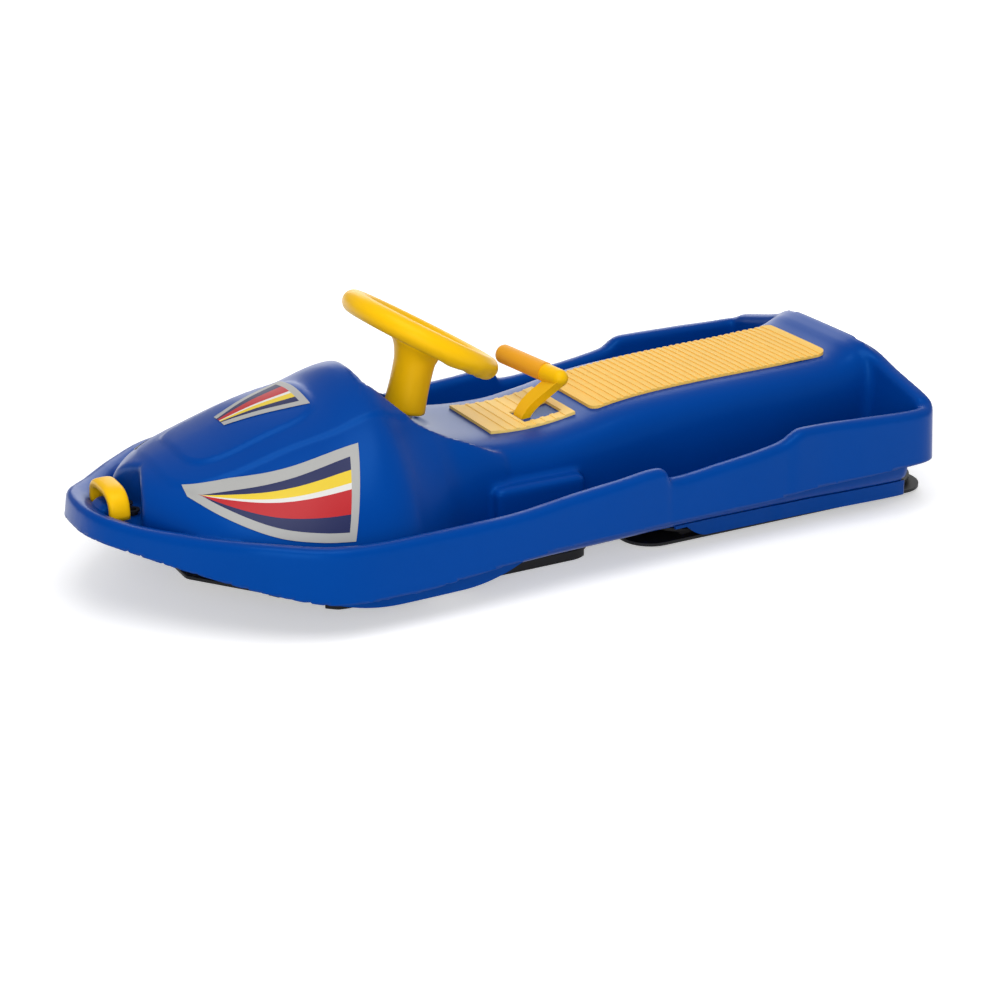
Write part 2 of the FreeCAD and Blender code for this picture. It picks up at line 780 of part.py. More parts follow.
def ribbed_layer(plan, low_x, high_x, pitch, half):
    """Whole moulded tread: a thin layer on the seat with cross ribs."""
    proud = size("tread_proud")
    layer = seat_layer(plan, proud + size("tread_rib"), size("tread_bed"))
    cuts = grooves(low_x, high_x, pitch, pitch - size("tread_rib_width"), half + size("overrun"), proud)
    return joined_halves(layer.cut(cuts))


def seat_tread():
    """Ribbed tread on the seat."""
    base = size("brake_z")
    front, rear = -size("tread_front"), -size("tread_rear")
    corners = [Vector(front, 0, base), Vector(front, size("tread_front_half"), base),
               Vector(rear, size("tread_rear_half"), base), Vector(rear, 0, base)]
    corner = size("tread_corner")
    plan = prism(rounded_wire(corners, [0, corner, corner, 0]), size("ridge_top"))
    edge = size("tread_rib_width")
    return ribbed_layer(plan, rear + edge, front - edge, size("tread_pitch"), size("tread_rear_half"))


def brake_cover():
    """Ribbed cover plate over the brake's slot."""
    base = size("brake_z")
    plan = slab(-size("cover_rear"), size("cover_front"), size("cover_half"), base, base + size("ridge_top"))
    edge = size("tread_rib_width")
    cover = ribbed_layer(plan, -size("cover_rear") + edge, size("cover_front") - edge,
                         size("cover_rib_pitch"), size("cover_half"))
    slot = lever_slot(size("cover_slot_rear"), size("cover_slot_left"), base, base + size("ridge_top"))
    return cover.cut(slot)


def side_plate(points, radii, half):
    """Plate with a side profile in XZ, as wide as the sled part that it makes."""
    wire = rounded_wire([Vector(x, -half, z) for x, z in points], radii)
    return prism(wire, Vector(0, 2 * half, 0))


def rib_bar(points, middle, width):
    """Lengthways rib with a side profile in XZ."""
    wire = Part.makePolygon([Vector(x, middle - width / 2, z) for x, z in points + points[:1]])
    return prism(wire, Vector(0, width, 0))


def plan_shape(corners, radii):
    """Upright prism over a plan given as its left half, from front to rear."""
    low = -size("overrun")
    left = [Vector(x, y, low) for x, y in corners]
    right = [Vector(p.x, -p.y, p.z) for p in left[::-1]]
    return prism(rounded_wire(left + right, radii + radii[::-1]), size("floor_top") + 2 * size("overrun"))


def front_ski():
    """Wide steered ski: a plate with a raised tip and three pairs of long ribs."""
    front, rear = size("ski_front"), -size("ski_rear")
    top, plate = size("ski_top"), size("ski_plate")
    bend = front - size("ski_tip_run")
    tip = top + size("ski_tip_rise")
    over = size("overrun")
    profile = [(rear - over, top), (bend, top), (front + over, tip), (front + over, tip - plate),
               (bend, top - plate), (rear - over, top - plate)]
    bow = size("ski_bend")
    half = size("ski_half")
    notch, gap = size("ski_notch"), size("ski_notch_half")
    plan = plan_shape([(front, half * SKI_TIP_SHARE), (front * SKI_SHOULDER_SHARE, half), (rear, half),
                       (rear, gap), (rear + notch, gap - notch)],
                      [size("ski_tip_corner"), size("ski_corner"), size("ski_rear_corner"), notch, notch])
    sole = side_plate(profile, [0, bow, 0, 0, bow, 0], half + over)
    inside = top - plate / 2
    start, level = rear * SKI_RIB_REAR_SHARE, front * SKI_RIB_LEVEL_SHARE
    rib = [(start, 0), (level, 0), (front * SKI_RIB_FRONT_SHARE, tip - plate), (level, inside),
           (start, inside)]
    width = size("ski_rib")
    places = [0, size("ski_rib_inner"), -size("ski_rib_inner"), half - width / 2, width / 2 - half]
    ribs = [rib_bar(rib, y, width) for y in places]
    ski = sole.fuse(ribs).common(plan)
    holes = screw_holes(hub_screw_places(), top - size("screw_bite"), size("screw_bite") + over)
    return ski.cut(holes)


def hub_screw_places():
    """Places of the screws that hold the hub on the ski."""
    middle = axis_point(size("ski_top"))
    reach = size("hub_screw_circle") / math.sqrt(2)
    return [Vector(middle.x + end * reach, side * reach, 0) for end in (1, -1) for side in (1, -1)]


def rear_runner():
    """Fixed runner under the rear: a plate with raised ends and long ribs."""
    front, rear = -size("runner_front"), -size("runner_rear")
    top, plate = size("runner_top"), size("runner_plate")
    lift, tail = top + size("runner_tip_rise"), top + size("runner_tail_rise")
    front_bend, rear_bend = front - size("runner_tip_run"), rear + size("runner_tail_run")
    half = size("runner_half")
    over = size("overrun")
    bow = size("runner_bend")
    profile = [(rear, tail), (rear_bend, top), (front_bend, top), (front, lift), (front, lift - plate),
               (front_bend, top - plate), (rear_bend, top - plate), (rear, tail - plate)]
    sole = side_plate(profile, [0, bow, bow, 0, 0, bow, bow, 0], half + over)
    notch = size("runner_notch")
    corner = size("runner_corner")
    gap = size("runner_notch_half")
    plan = plan_shape([(front - notch, gap - notch), (front, gap), (front, half), (rear, half)],
                      [notch / 2, notch / 4, corner, corner])
    inside = top - plate / 2
    start = front_bend + size("runner_tip_run") * RUNNER_RIB_FRONT_SHARE
    end = rear * RUNNER_RIB_REAR_SHARE
    rib = [(end, 0), (front_bend, 0), (start, inside), (end - inside, inside)]
    width = size("runner_rib")
    places = [0, size("runner_rib_inner"), -size("runner_rib_inner"), half - width / 2, width / 2 - half]
    ribs = [rib_bar(rib, y, width) for y in places]
    runner = sole.fuse(ribs).common(plan)
    return runner.cut(screw_holes(runner_boss_places(), 0, top + over))


def screws(label, places, seat, bite, way=1):
    """Group of pan-head screws with their heads on a height, going up from it, or down."""
    pieces = []
    for i, place in enumerate(places):
        foot = Vector(place.x, place.y, seat)
        shank = cylinder(f"{label}_shank_{i}", "screw_radius", bite, foot, Vector(0, 0, way))
        head = cylinder(f"{label}_head_{i}", "screw_head_radius", "screw_head", foot, Vector(0, 0, -way))
        pieces.append(fused(f"{label}_{i}", [shank, head], True))
    return combined("Compound", label, pieces)


def steering_bridge():
    """Cross member under the floor with the collar of the lower steering bearing."""
    top = size("floor_top") - size("shell_wall")
    low = top - size("bridge_thick")
    seat = size("pedestal_top") + size("washer_thick")
    over = size("overrun")
    corner = Vector(axis_point(top).x - size("bridge_width") / 2, -size("bridge_half"), low)
    plate = block("bridge_plate", "bridge_width", "2 * bridge_half", "bridge_thick", corner)
    foot = on_axis("bridge_foot_blank", "collar_foot_radius", "collar_foot_top", 0)
    room = block("bridge_room", "half_length", "2 * half_width",
                 "hood_top - floor_top + shell_wall + bridge_thick", Vector(0, -size("half_width"), low))
    foot = combined("MultiCommon", "bridge_foot", [foot, room])
    collar = on_axis("bridge_collar", "collar_radius", "collar_top - pedestal_top - washer_thick", seat)
    well = on_axis("bridge_well", "pedestal_radius + pedestal_room",
                   "overrun + pedestal_top + washer_thick", -over)
    bore = on_axis("bridge_bore", "hub_boss_radius + running_fit + lower_bush_wall + press_room",
                   "collar_top + 2 * overrun", -over)
    holes = hole_row("bridge_hole", "overrun + floor_top - shell_wall", bridge_screw_places(), low - over)
    blank = fused("bridge_blank", [plate, foot, collar])
    return cut("steering_bridge", blank, [well, bore] + holes)


def lower_bush():
    """Plain bush in the collar of the bridge."""
    inner = "hub_boss_radius + running_fit"
    return axis_tube("lower_bush", f"{inner} + lower_bush_wall", inner,
                     "collar_top - pedestal_top - washer_thick", size("pedestal_top") + size("washer_thick"))


def upper_bush():
    """Flanged bush in the boss under the column."""
    low = size("upper_bush_low")
    deep = "boss_top - upper_bush_low"
    sleeve = on_axis("upper_bush_sleeve", "upper_bush_radius", deep, low)
    flange = on_axis("upper_bush_lip", "upper_bush_flange", "upper_bush_flange_thick", size("boss_top"))
    bore = on_axis("upper_bush_bore", "shaft_radius + running_fit", f"{deep} + 2 * overrun",
                   low - size("overrun"))
    return cut("upper_bush", fused("upper_bush_blank", [sleeve, flange], True), [bore])


def thrust_washer():
    """Washer between the ski hub and the bridge."""
    return axis_tube("thrust_washer", "washer_radius", "hub_boss_radius + washer_room",
                     "washer_thick - washer_gap", size("pedestal_top"))


def hub_pin():
    """Pin through the ski hub and the shaft."""
    return cross_pin("hub_pin", "pin_radius", "2 * (hub_boss_radius - running_fit)", size("hub_pin_at"))


def column_pin():
    """Pin through the tapered column and the shaft."""
    taper = "(column_top_radius - column_foot_radius) / (column_top - column_foot)"
    reach = f"column_foot_radius + {taper} * (column_pin_at - column_foot) - running_fit"
    return cross_pin("column_pin", "pin_radius", f"2 * ({reach})", size("column_pin_at"))


def steering_shaft():
    """Steel shaft from the ski hub to the wheel."""
    bar = on_axis("shaft_bar", "shaft_radius", "shaft_top - shaft_low", size("shaft_low"))
    holes = [cross_pin(f"shaft_hole_{place}", "pin_radius + press_room", "2 * overrun", size(place))
             for place in ("hub_pin_at", "column_pin_at")]
    return cut("steering_shaft", bar, holes)


def ski_hub():
    """Hub of the ski: screwed flange, pedestal and the boss that turns in the lower bush."""
    low = size("ski_top")
    flange = cylinder("hub_flange", "hub_flange_radius", "hub_flange_thick",
                      Vector(axis_point(low).x, 0, low))
    room = block("hub_room", "half_length", "2 * half_width", "hood_top - ski_top",
                 Vector(0, -size("half_width"), low))
    pedestal = on_axis("hub_pedestal_blank", "pedestal_radius", "pedestal_top", 0)
    boss = on_axis("hub_boss_blank", "hub_boss_radius", "hub_boss_top", 0)
    stem = [combined("MultiCommon", "hub_pedestal", [pedestal, room]),
            combined("MultiCommon", "hub_boss", [boss, room])]
    bore = on_axis("hub_bore", "shaft_radius + press_room", "hub_boss_top + overrun - shaft_low",
                   size("shaft_low"))
    pin = cross_pin("hub_pin_hole", "pin_radius + press_room", "2 * (hub_boss_radius + overrun)",
                    size("hub_pin_at"))
    holes = hole_row("hub_hole", "2 * overrun + ski_top", hub_screw_places(), low - size("overrun"))
    blank = fused("hub_blank", [flange] + stem)
    return cut("ski_hub", blank, [bore, pin] + holes)


def wheel_frame():
    """Middle of the wheel, its normal, and its forward and left directions."""
    tilt = math.radians(size("wheel_tilt"))
    return (axis_point(size("wheel_at")), Vector(-math.sin(tilt), 0, math.cos(tilt)),
            Vector(math.cos(tilt), 0, math.sin(tilt)), Vector(0, 1, 0))


def spoke(direction):
    """Flat oval spoke from the hub to the rim."""
    middle, normal, _, _ = wheel_frame()
    across = normal.cross(direction)
    wires = []
    ends = ((size("wheel_hub") / 2, size("spoke_hub_width")), (size("wheel_radius"), size("spoke_rim_width")))
    for reach, width in ends:
        centre = middle + direction * reach
        oval = Part.Ellipse(centre + across * width, centre + normal * size("spoke_depth"), centre)
        wires.append(Part.Wire([oval.toShape()]))
    return Part.makeLoft(wires, True, True)


def wheel_blank():
    """Whole wheel before it is parted: rim, hub and three spokes."""
    middle, normal, ahead, left = wheel_frame()
    rim = Part.makeTorus(size("wheel_radius"), size("wheel_tube"), middle, normal)
    depth = size("wheel_hub_depth")
    hub = Part.makeCylinder(size("wheel_hub"), 2 * depth, middle - normal * depth, normal)
    hub = hub.makeChamfer(size("wheel_hub_round"), [edge for edge in hub.Edges if len(edge.Vertexes) == 1])
    return rim.fuse([hub, spoke(left), spoke(left * -1), spoke(ahead * -1)])


def wheel_half_space(side):
    """Large block on one side of the wheel's parting plane."""
    middle, normal, ahead, left = wheel_frame()
    reach = size("wheel_radius") + size("wheel_tube") + size("overrun")
    corner = middle - ahead * reach - left * reach
    steps = (Vector(), ahead, ahead + left, left, Vector())
    plate = Part.Face(Part.makePolygon([corner + step * 2 * reach for step in steps]))
    return plate.extrude(normal * reach * side)


def wheel_screw_places():
    """Places of the screws that join the wheel's halves."""
    middle, _, ahead, left = wheel_frame()
    return [middle + way * size("wheel_screw_at") for way in (left, left * -1, ahead * -1)]


def wheel_rods(radius, low, high):
    """Rods across the parting plane at the wheel screws."""
    _, normal, _, _ = wheel_frame()
    return [Part.makeCylinder(radius, high - low, place + normal * low, normal)
            for place in wheel_screw_places()]


def wheel_top():
    """Upper moulding of the wheel."""
    pilot = size("screw_radius") + size("screw_room")
    holes = wheel_rods(pilot, -size("overrun"), size("wheel_screw_bite"))
    return wheel_blank().common(wheel_half_space(1)).cut(holes)


def wheel_base():
    """Lower moulding of the wheel with the column."""
    middle, normal, _, _ = wheel_frame()
    over = size("overrun")
    base = wheel_blank().common(wheel_half_space(-1))
    tall = size("column_top") - size("column_foot")
    column = Part.makeCone(size("column_foot_radius"), size("column_top_radius"), tall,
                           axis_point(size("column_foot")), axis_direction())
    neck = Part.Circle(axis_point(size("column_top")), axis_direction(), size("column_top_radius"))
    throat = Part.Circle(middle - normal * size("wheel_hub_depth") / 2, normal,
                         size("wheel_hub") * THROAT_SHARE)
    flare = Part.makeLoft([Part.Wire([neck.toShape()]), Part.Wire([throat.toShape()])], True, True)
    bore = axis_rod(size("shaft_radius") + size("press_room"), size("column_foot") - over,
                    size("shaft_top") + size("running_fit"))
    reach = size("column_foot_radius") + over
    pin = Part.makeCylinder(size("pin_radius") + size("press_room"), 2 * reach,
                            axis_point(size("column_pin_at")) - Vector(0, reach, 0), Vector(0, 1, 0))
    shank = wheel_rods(size("screw_radius") + size("screw_room"), -over - over, 0)
    seat = wheel_rods(size("screw_head_radius") + size("screw_room"), -over - over, -size("spoke_depth") / 2)
    return base.fuse([column, flare]).cut([bore, pin] + shank + seat)


def wheel_screws():
    """Screws that join the wheel's halves from below."""
    _, normal, _, _ = wheel_frame()
    pieces = []
    for i, place in enumerate(wheel_screw_places()):
        seat = place - normal * (size("spoke_depth") / 2)
        shank = cylinder(f"wheel_shank_{i}", "screw_radius", "wheel_screw_bite + spoke_depth / 2",
                         seat, normal)
        head = cylinder(f"wheel_head_{i}", "screw_head_radius", "screw_head",
                        seat - normal * size("screw_head"), normal)
        pieces.append(fused(f"wheel_screw_{i}", [shank, head], True))
    return combined("Compound", "wheel_screws", pieces)


def brake_point(along, out=0.0, side=0.0):
    """Point in the claw's frame: along the claw, out from its face and to the left of the lever."""
    angle = math.radians(size("claw_angle"))
    return Vector(-size("brake_x") - along * math.cos(angle) + out * math.sin(angle), size("brake_y") + side,
                  size("brake_z") - along * math.sin(angle) - out * math.cos(angle))


def brake_rod(radius, low, high):
    """Cylinder on the brake's pivot, between two places across the sled."""
    foot = Vector(-size("brake_x"), low, size("brake_z"))
    return Part.makeCylinder(radius, high - low, foot, Vector(0, 1, 0))


def cheek_places():
    """Inner faces of the bracket's cheeks, right and left."""
    half = size("lever_hub_width") / 2
    return (size("brake_y") - half - size("cheek_room"), size("brake_y") + half + size("spring_room"))


def claw_plate(outline, out, thick):
    """Plate in the claw's frame from its outline along and across."""
    points = [brake_point(along, out, side) for along, side in outline]
    normal = brake_point(0, 1) - brake_point(0, 0)
    return prism(Part.makePolygon(points + points[:1]), normal * thick)


def lever_elbow():
    """Middle of the elbow where the lever turns into its grip."""
    return lever_path()[-1]


def lever_path():
    """Points of the lever's arm from the pivot to the elbow."""
    return [Vector(-size("brake_x") - back * size("elbow_back"), size("brake_y") + left * size("elbow_left"),
                   size("brake_z") + up * size("elbow_up")) for back, left, up in LEVER_SHARES]


def grip_direction():
    """Direction of the grip, from the elbow to its free end."""
    return Vector(size("grip_ahead"), -size("grip_across"), size("grip_up")).normalize()


def lever_arm():
    """Arm of the lever, a flat bar that leans back and to the left."""
    path = lever_path()
    wires = []
    for i, point in enumerate(path):
        along = (path[min(i + 1, len(path) - 1)] - path[max(i - 1, 0)]).normalize()
        across = Vector(0, 1, 0)
        across = (across - along * across.dot(along)).normalize() * (size("lever_arm_width") / 2)
        deep = along.cross(across).normalize() * (size("lever_arm_thick") / 2)
        corners = [point + across + deep, point - across + deep, point - across - deep, point + across - deep]
        wires.append(Part.makePolygon(corners + corners[:1]))
    return Part.makeLoft(wires, True, False)


def brake_lever():
    """Brake lever: hub on the pivot, tail for the claw, arm, elbow and core of the grip."""
    half = size("lever_hub_width") / 2
    middle = size("brake_y")
    hub = brake_rod(size("lever_hub_radius"), middle - half, middle + half)
    deep = size("lever_arm_thick") / 2
    end = size("lever_tail")
    tail = claw_plate([(0, -half), (end, -half), (end, half), (0, half)], -deep, 2 * deep)
    elbow = lever_elbow()
    ball = Part.makeSphere(size("lever_elbow_radius"), elbow)
    stub = Part.makeCylinder(size("lever_elbow_radius"), size("grip_start"), elbow, grip_direction())
    reach = size("grip_start") + size("grip_length") - size("grip_radius")
    core = Part.makeCylinder(size("grip_core_radius"), reach, elbow, grip_direction())
    over = size("overrun")
    bore = brake_rod(size("brake_pin_radius") + size("running_fit"), middle - half - over,
                     middle + half + over)
    holes = rivet_rods(size("rivet_radius") + size("press_room"), over)
    return hub.fuse([tail, lever_arm(), ball, stub, core]).cut([bore] + holes)


def brake_grip():
    """Sleeve on the end of the lever, closed and rounded at its free end."""
    way = grip_direction()
    start = lever_elbow() + way * size("grip_start")
    outer = size("grip_radius")
    length = size("grip_length")
    sleeve = Part.makeCylinder(outer, length, start, way)
    rims = [edge for edge in sleeve.Edges if len(edge.Vertexes) == 1]
    far = max(rims, key=lambda edge: edge.CenterOfMass.distanceToPoint(start))
    sleeve = sleeve.makeFillet(outer * GRIP_ROUND_SHARE, [far])
    core = Part.makeCylinder(size("grip_core_radius") + size("grip_room"), length - outer, start, way)
    return sleeve.cut(core)


def rivet_rods(radius, over):
    """Rods at the claw's rivets, through the tail and the claw."""
    deep = size("lever_arm_thick") / 2
    normal = brake_point(0, 1) - brake_point(0, 0)
    length = 2 * deep + size("claw_thick") + 2 * over
    return [Part.makeCylinder(radius, length, brake_point(share * size("lever_tail"), -deep - over), normal)
            for share in RIVET_SHARES]


def claw_rivets():
    """Rivets that hold the claw on the lever's tail."""
    normal = brake_point(0, 1) - brake_point(0, 0)
    deep = size("lever_arm_thick") / 2
    pieces = []
    for i, share in enumerate(RIVET_SHARES):
        along = share * size("lever_tail")
        bar = cylinder(f"rivet_bar_{i}", "rivet_radius", "lever_arm_thick + claw_thick",
                       brake_point(along, -deep), normal)
        near = cylinder(f"rivet_head_{i}", "rivet_head", "rivet_cap", brake_point(along, -deep), normal * -1)
        far = cylinder(f"rivet_tail_{i}", "rivet_head", "rivet_cap",
                       brake_point(along, deep + size("claw_thick")), normal)
        pieces.append(fused(f"claw_rivet_{i}", [bar, near, far], True))
    return combined("Compound", "claw_rivets", pieces)


def brake_claw():
    """Steel claw with three teeth that digs into the snow."""
    neck, wide = size("claw_neck") / 2, size("claw_width") / 2
    start = size("lever_tail") - size("claw_head")
    end = size("claw_length")
    root = end - size("claw_tooth")
    shoulder = end * CLAW_SHOULDER_SHARE
    third = 2 * wide / 3
    outline = [(start, -neck), (shoulder, -neck), (root, -wide)]
    for i in range(3):
        left = -wide + i * third
        outline += [(end, left + third / 2), (root, left + third)]
    outline += [(shoulder, neck), (start, neck)]
    plate = claw_plate(outline, size("lever_arm_thick") / 2, size("claw_thick"))
    return plate.cut(rivet_rods(size("rivet_radius") + size("press_room"), size("overrun")))


def brake_bracket():
    """Steel bracket under the seat with two cheeks for the brake's pivot."""
    right, left = cheek_places()
    cheek, lug, thick = size("cheek_thick"), size("bracket_lug"), size("bracket_thick")
    x, top, over = -size("brake_x"), size("bracket_top"), size("overrun")
    room = "lever_hub_width + cheek_room + spring_room"
    plate = block("bracket_plate", "2 * bracket_half_length", f"{room} + 2 * (cheek_thick + bracket_lug)",
                  "bracket_thick", Vector(x - size("bracket_half_length"), right - cheek - lug, top - thick))
    cheeks = []
    for name, y in (("right", right - cheek), ("left", left)):
        corner = Vector(x - size("cheek_half"), y, size("brake_z"))
        cheeks.append(block(f"bracket_{name}_cheek", "2 * cheek_half", "cheek_thick",
                            "bracket_top - bracket_thick / 2 - brake_z", corner))
        cheeks.append(pivot_ring(f"bracket_{name}_eye", "cheek_half", "cheek_thick", y))
    bore = pivot_ring("bracket_bore", "brake_pin_radius + press_room", f"{room} + 2 * overrun", right - over)
    slot = block("bracket_slot", "bracket_slot_rear + slot_front", "slot_right + slot_left",
                 "bracket_top + overrun - brake_z",
                 Vector(x - size("bracket_slot_rear"), size("brake_y") - size("slot_right"), size("brake_z")))
    holes = hole_row("bracket_hole", "bracket_thick + 2 * overrun", bracket_screw_places(),
                     top - thick - over)
    blank = fused("bracket_blank", [plate] + cheeks)
    return cut("brake_bracket", blank, [bore, slot] + holes)


def brake_pivot_pin():
    """Pivot pin of the brake."""
    reach = "cheek_thick + clip_thick + pin_overhang"
    low = cheek_places()[0] - size("cheek_thick") - size("clip_thick") - size("pin_overhang")
    return pivot_ring("brake_pivot_pin", "brake_pin_radius",
                      f"lever_hub_width + cheek_room + spring_room + 2 * ({reach})", low)


def brake_pin_clips():
    """Retaining clips on both ends of the pivot pin."""
    right, left = cheek_places()
    cheek, thick, over = size("cheek_thick"), size("clip_thick"), size("overrun")
    rings = []
    for name, y in (("right", right - cheek - thick), ("left", left + cheek)):
        disc = pivot_ring(f"{name}_clip_disc", "clip_radius", "clip_thick", y)
        bore = pivot_ring(f"{name}_clip_bore", "brake_pin_radius + press_room", "2 * overrun", y - over)
        rings.append(cut(f"{name}_clip", disc, [bore]))
    return combined("Compound", "brake_pin_clips", rings)


def brake_spring():
    """Return spring of the brake, wound on the pivot pin."""
    radius, pitch = size("spring_coil"), size("spring_pitch")
    quarters = int(size("spring_turns") * 4)
    rise = pitch / 4
    length = quarters * rise
    low = size("brake_y") + size("lever_hub_width") / 2 + (size("spring_room") - length) / 2
    centre = Vector(-size("brake_x"), low, size("brake_z"))
    lead = pitch / (2 * math.pi)

    def place(turn):
        return centre + Vector(radius * math.cos(turn), lead * turn, radius * math.sin(turn))

    def heading(turn):
        return Vector(-radius * math.sin(turn), lead, radius * math.cos(turn)).normalize()

    edges = []
    for i in range(quarters):
        start, end = i * math.pi / 2, (i + 1) * math.pi / 2
        p, q, u, v = place(start), place(end), heading(start), heading(end)
        gap = q - p
        square = 2 - 2 * u.dot(v)
        middle = 2 * gap.dot(u + v)
        reach = (-middle + math.sqrt(middle * middle + 4 * square * gap.dot(gap))) / (2 * square)
        near, far = p + u * reach, q - v * reach
        joint = (near + far) / 2
        for a, corner, b in ((p, near, joint), (joint, far, q)):
            chord = (b - a).Length / 2
            rest = (a + b) / 2
            sagitta = chord * math.tan(math.acos(chord / reach) / 2)
            edges.append(Part.Arc(a, rest + (corner - rest).normalize() * sagitta, b).toShape())
    out = Vector(1, 0, 0)
    over = heading(0).cross(out)
    wire = size("spring_wire")
    corners = []
    for i in range(WIRE_SIDES):
        turn = 2 * math.pi * i / WIRE_SIDES
        corners.append(place(0) + out * (wire * math.cos(turn)) + over * (wire * math.sin(turn)))
    section = Part.makePolygon(corners + corners[:1])
    return Part.Wire(edges).makePipeShell([section], True, False)


def tow_handle():
    """Arched tow handle that stands in the nose pocket."""
    bar = size("handle_bar")
    foot = size("pocket_floor") + size("handle_seat_gap")
    top = size("pocket_floor") + size("handle_rise")
    x, half, bend = size("handle_x"), size("handle_half_span"), size("handle_bend")
    turn = bend * (1 - math.sqrt(0.5))
    points = [Vector(x, -half, foot), Vector(x, -half, top - bend), Vector(x, turn - half, top - turn),
              Vector(x, bend - half, top), Vector(x, half - bend, top), Vector(x, half - turn, top - turn),
              Vector(x, half, top - bend), Vector(x, half, foot)]
    edges = [Part.LineSegment(points[0], points[1]), Part.Arc(points[1], points[2], points[3]),
             Part.LineSegment(points[3], points[4]), Part.Arc(points[4], points[5], points[6]),
             Part.LineSegment(points[6], points[7])]
    path = Part.Wire([edge.toShape() for edge in edges])
    section = Part.Circle(points[0], Vector(0, 0, 1), bar)
    return path.makePipeShell([Part.Wire([section.toShape()])], True, False)


def tow_cord_guides():
    """Guides for a tow cord in the floor of the pocket."""
    wall, over = size("shell_wall"), size("overrun")
    guides = []
    for name, place in zip(("left", "right"), guide_places()):
        sleeve = cylinder(f"{name}_guide_sleeve", "guide_bore + guide_wall", "shell_wall",
                          place - Vector(0, 0, wall))
        flange = cylinder(f"{name}_guide_lip", "guide_bore + guide_wall + guide_flange",
                          "guide_flange_thick", place)
        bore = cylinder(f"{name}_guide_bore", "guide_bore", "shell_wall + 2 * overrun",
                        place - Vector(0, 0, wall + over))
        blank = fused(f"{name}_guide_blank", [sleeve, flange], True)
        guides.append(cut(f"{name}_guide", blank, [bore]))
    return combined("Compound", "tow_cord_guides", guides)


def feature(label, shape):
    """Document object that holds one finished sub-part."""
    item = doc.addObject("Part::Feature", label)
    item.Label = label
    item.Shape = shape
    item.Placement = Placement()
    return item


runner_seat = size("runner_top") - size("runner_plate")
bridge_seat = size("floor_top") - size("shell_wall") - size("bridge_thick")
bracket_seat = size("bracket_top") - size("bracket_thick")
hub_seat = size("ski_top") + size("hub_flange_thick")

SUB_PARTS = [
    feature("body_shell", body_shell()),
    feature("seat_tread", seat_tread()),
    feature("brake_cover", brake_cover()),
    feature("rear_runner", rear_runner()),
    screws("rear_runner_screws", runner_boss_places(), runner_seat, "screw_bite"),
    steering_bridge(),
    screws("steering_bridge_screws", bridge_screw_places(), bridge_seat, "bridge_thick + shell_wall / 2"),
    lower_bush(),
    upper_bush(),
    brake_bracket(),
    screws("brake_bracket_screws", bracket_screw_places(), bracket_seat,
           "bracket_thick + bracket_screw_bite - screw_room"),
    brake_pivot_pin(),
    brake_pin_clips(),
    feature("brake_spring", brake_spring()),
    tow_cord_guides(),
    feature("front_ski", front_ski()),
    ski_hub(),
    screws("ski_hub_screws", hub_screw_places(), hub_seat, "hub_flange_thick + ski_plate / 2", -1),
    thrust_washer(),
    steering_shaft(),
    hub_pin(),
    column_pin(),
    feature("wheel_base", wheel_base()),
    feature("wheel_top", wheel_top()),
    wheel_screws(),
    feature("brake_lever", brake_lever()),
    feature("brake_grip", brake_grip()),
    feature("brake_claw", brake_claw()),
    claw_rivets(),
    feature("tow_handle", tow_handle()),
]

doc.recompute()
for item in doc.Objects:
    if "Invalid" in item.State or "Error" in item.State:
        raise RuntimeError(f"{item.Label} failed: {item.State}")
for item in SUB_PARTS:
    if item.Shape.isNull() or not item.Shape.isValid() or not item.Shape.Solids:
        raise RuntimeError(f"{item.Label} has no valid shape")
os.makedirs("parts", exist_ok=True)
for item in SUB_PARTS:
    item.Shape.exportStep(f"parts/{item.Label}.step")
    print(item.Label, len(item.Shape.Solids), round(item.Shape.Volume / 1000, 1), "cm3")
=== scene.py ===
"""Looks of the steering sled: smooth moulded skins, finishes, studio and camera.

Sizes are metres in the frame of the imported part: +X to the nose, +Y to the rider's left, +Z up.
"""

import itertools
import logging
import math
from collections.abc import Callable, Sequence
from dataclasses import dataclass, field
from enum import Enum

import bmesh
import bpy
import numpy as np
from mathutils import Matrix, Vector

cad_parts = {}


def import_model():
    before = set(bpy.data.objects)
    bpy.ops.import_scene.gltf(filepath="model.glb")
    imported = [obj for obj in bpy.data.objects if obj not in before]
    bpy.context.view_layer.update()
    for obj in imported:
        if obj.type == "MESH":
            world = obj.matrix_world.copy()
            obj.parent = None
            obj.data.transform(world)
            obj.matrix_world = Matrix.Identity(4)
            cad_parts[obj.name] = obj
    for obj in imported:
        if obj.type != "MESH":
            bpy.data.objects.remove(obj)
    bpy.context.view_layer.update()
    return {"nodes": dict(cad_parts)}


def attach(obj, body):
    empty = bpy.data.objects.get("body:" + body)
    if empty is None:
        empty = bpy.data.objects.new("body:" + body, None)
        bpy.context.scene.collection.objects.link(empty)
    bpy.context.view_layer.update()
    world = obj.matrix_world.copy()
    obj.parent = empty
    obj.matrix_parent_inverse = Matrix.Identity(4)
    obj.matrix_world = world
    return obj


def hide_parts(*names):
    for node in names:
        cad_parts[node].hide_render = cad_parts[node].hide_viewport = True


LOG = logging.getLogger("sled")
Solid = Callable[[np.ndarray], np.ndarray]
Point = tuple[float, float, float]
Colour = tuple[float, float, float]
CORNERS = np.array(list(itertools.product((0, 1), repeat=3)))
# where the steering column's axis meets the ground, and its lean to the rear
COLUMN_FOOT = (0.171, 0.0, 0.0)
COLUMN_LEAN = math.radians(14.5)


def soft_min(a: np.ndarray, b: np.ndarray, blend: float) -> np.ndarray:
    """Joins two solids with a fillet.

    Args:
        a: Field of the first solid, negative inside.
        b: Field of the second solid.
        blend: Width over which the two flow into each other.

    Returns:
        Field of the joined solid.
    """
    share = np.clip(0.5 + 0.5 * (b - a) / blend, 0.0, 1.0)
    return b + (a - b) * share - blend * share * (1.0 - share)


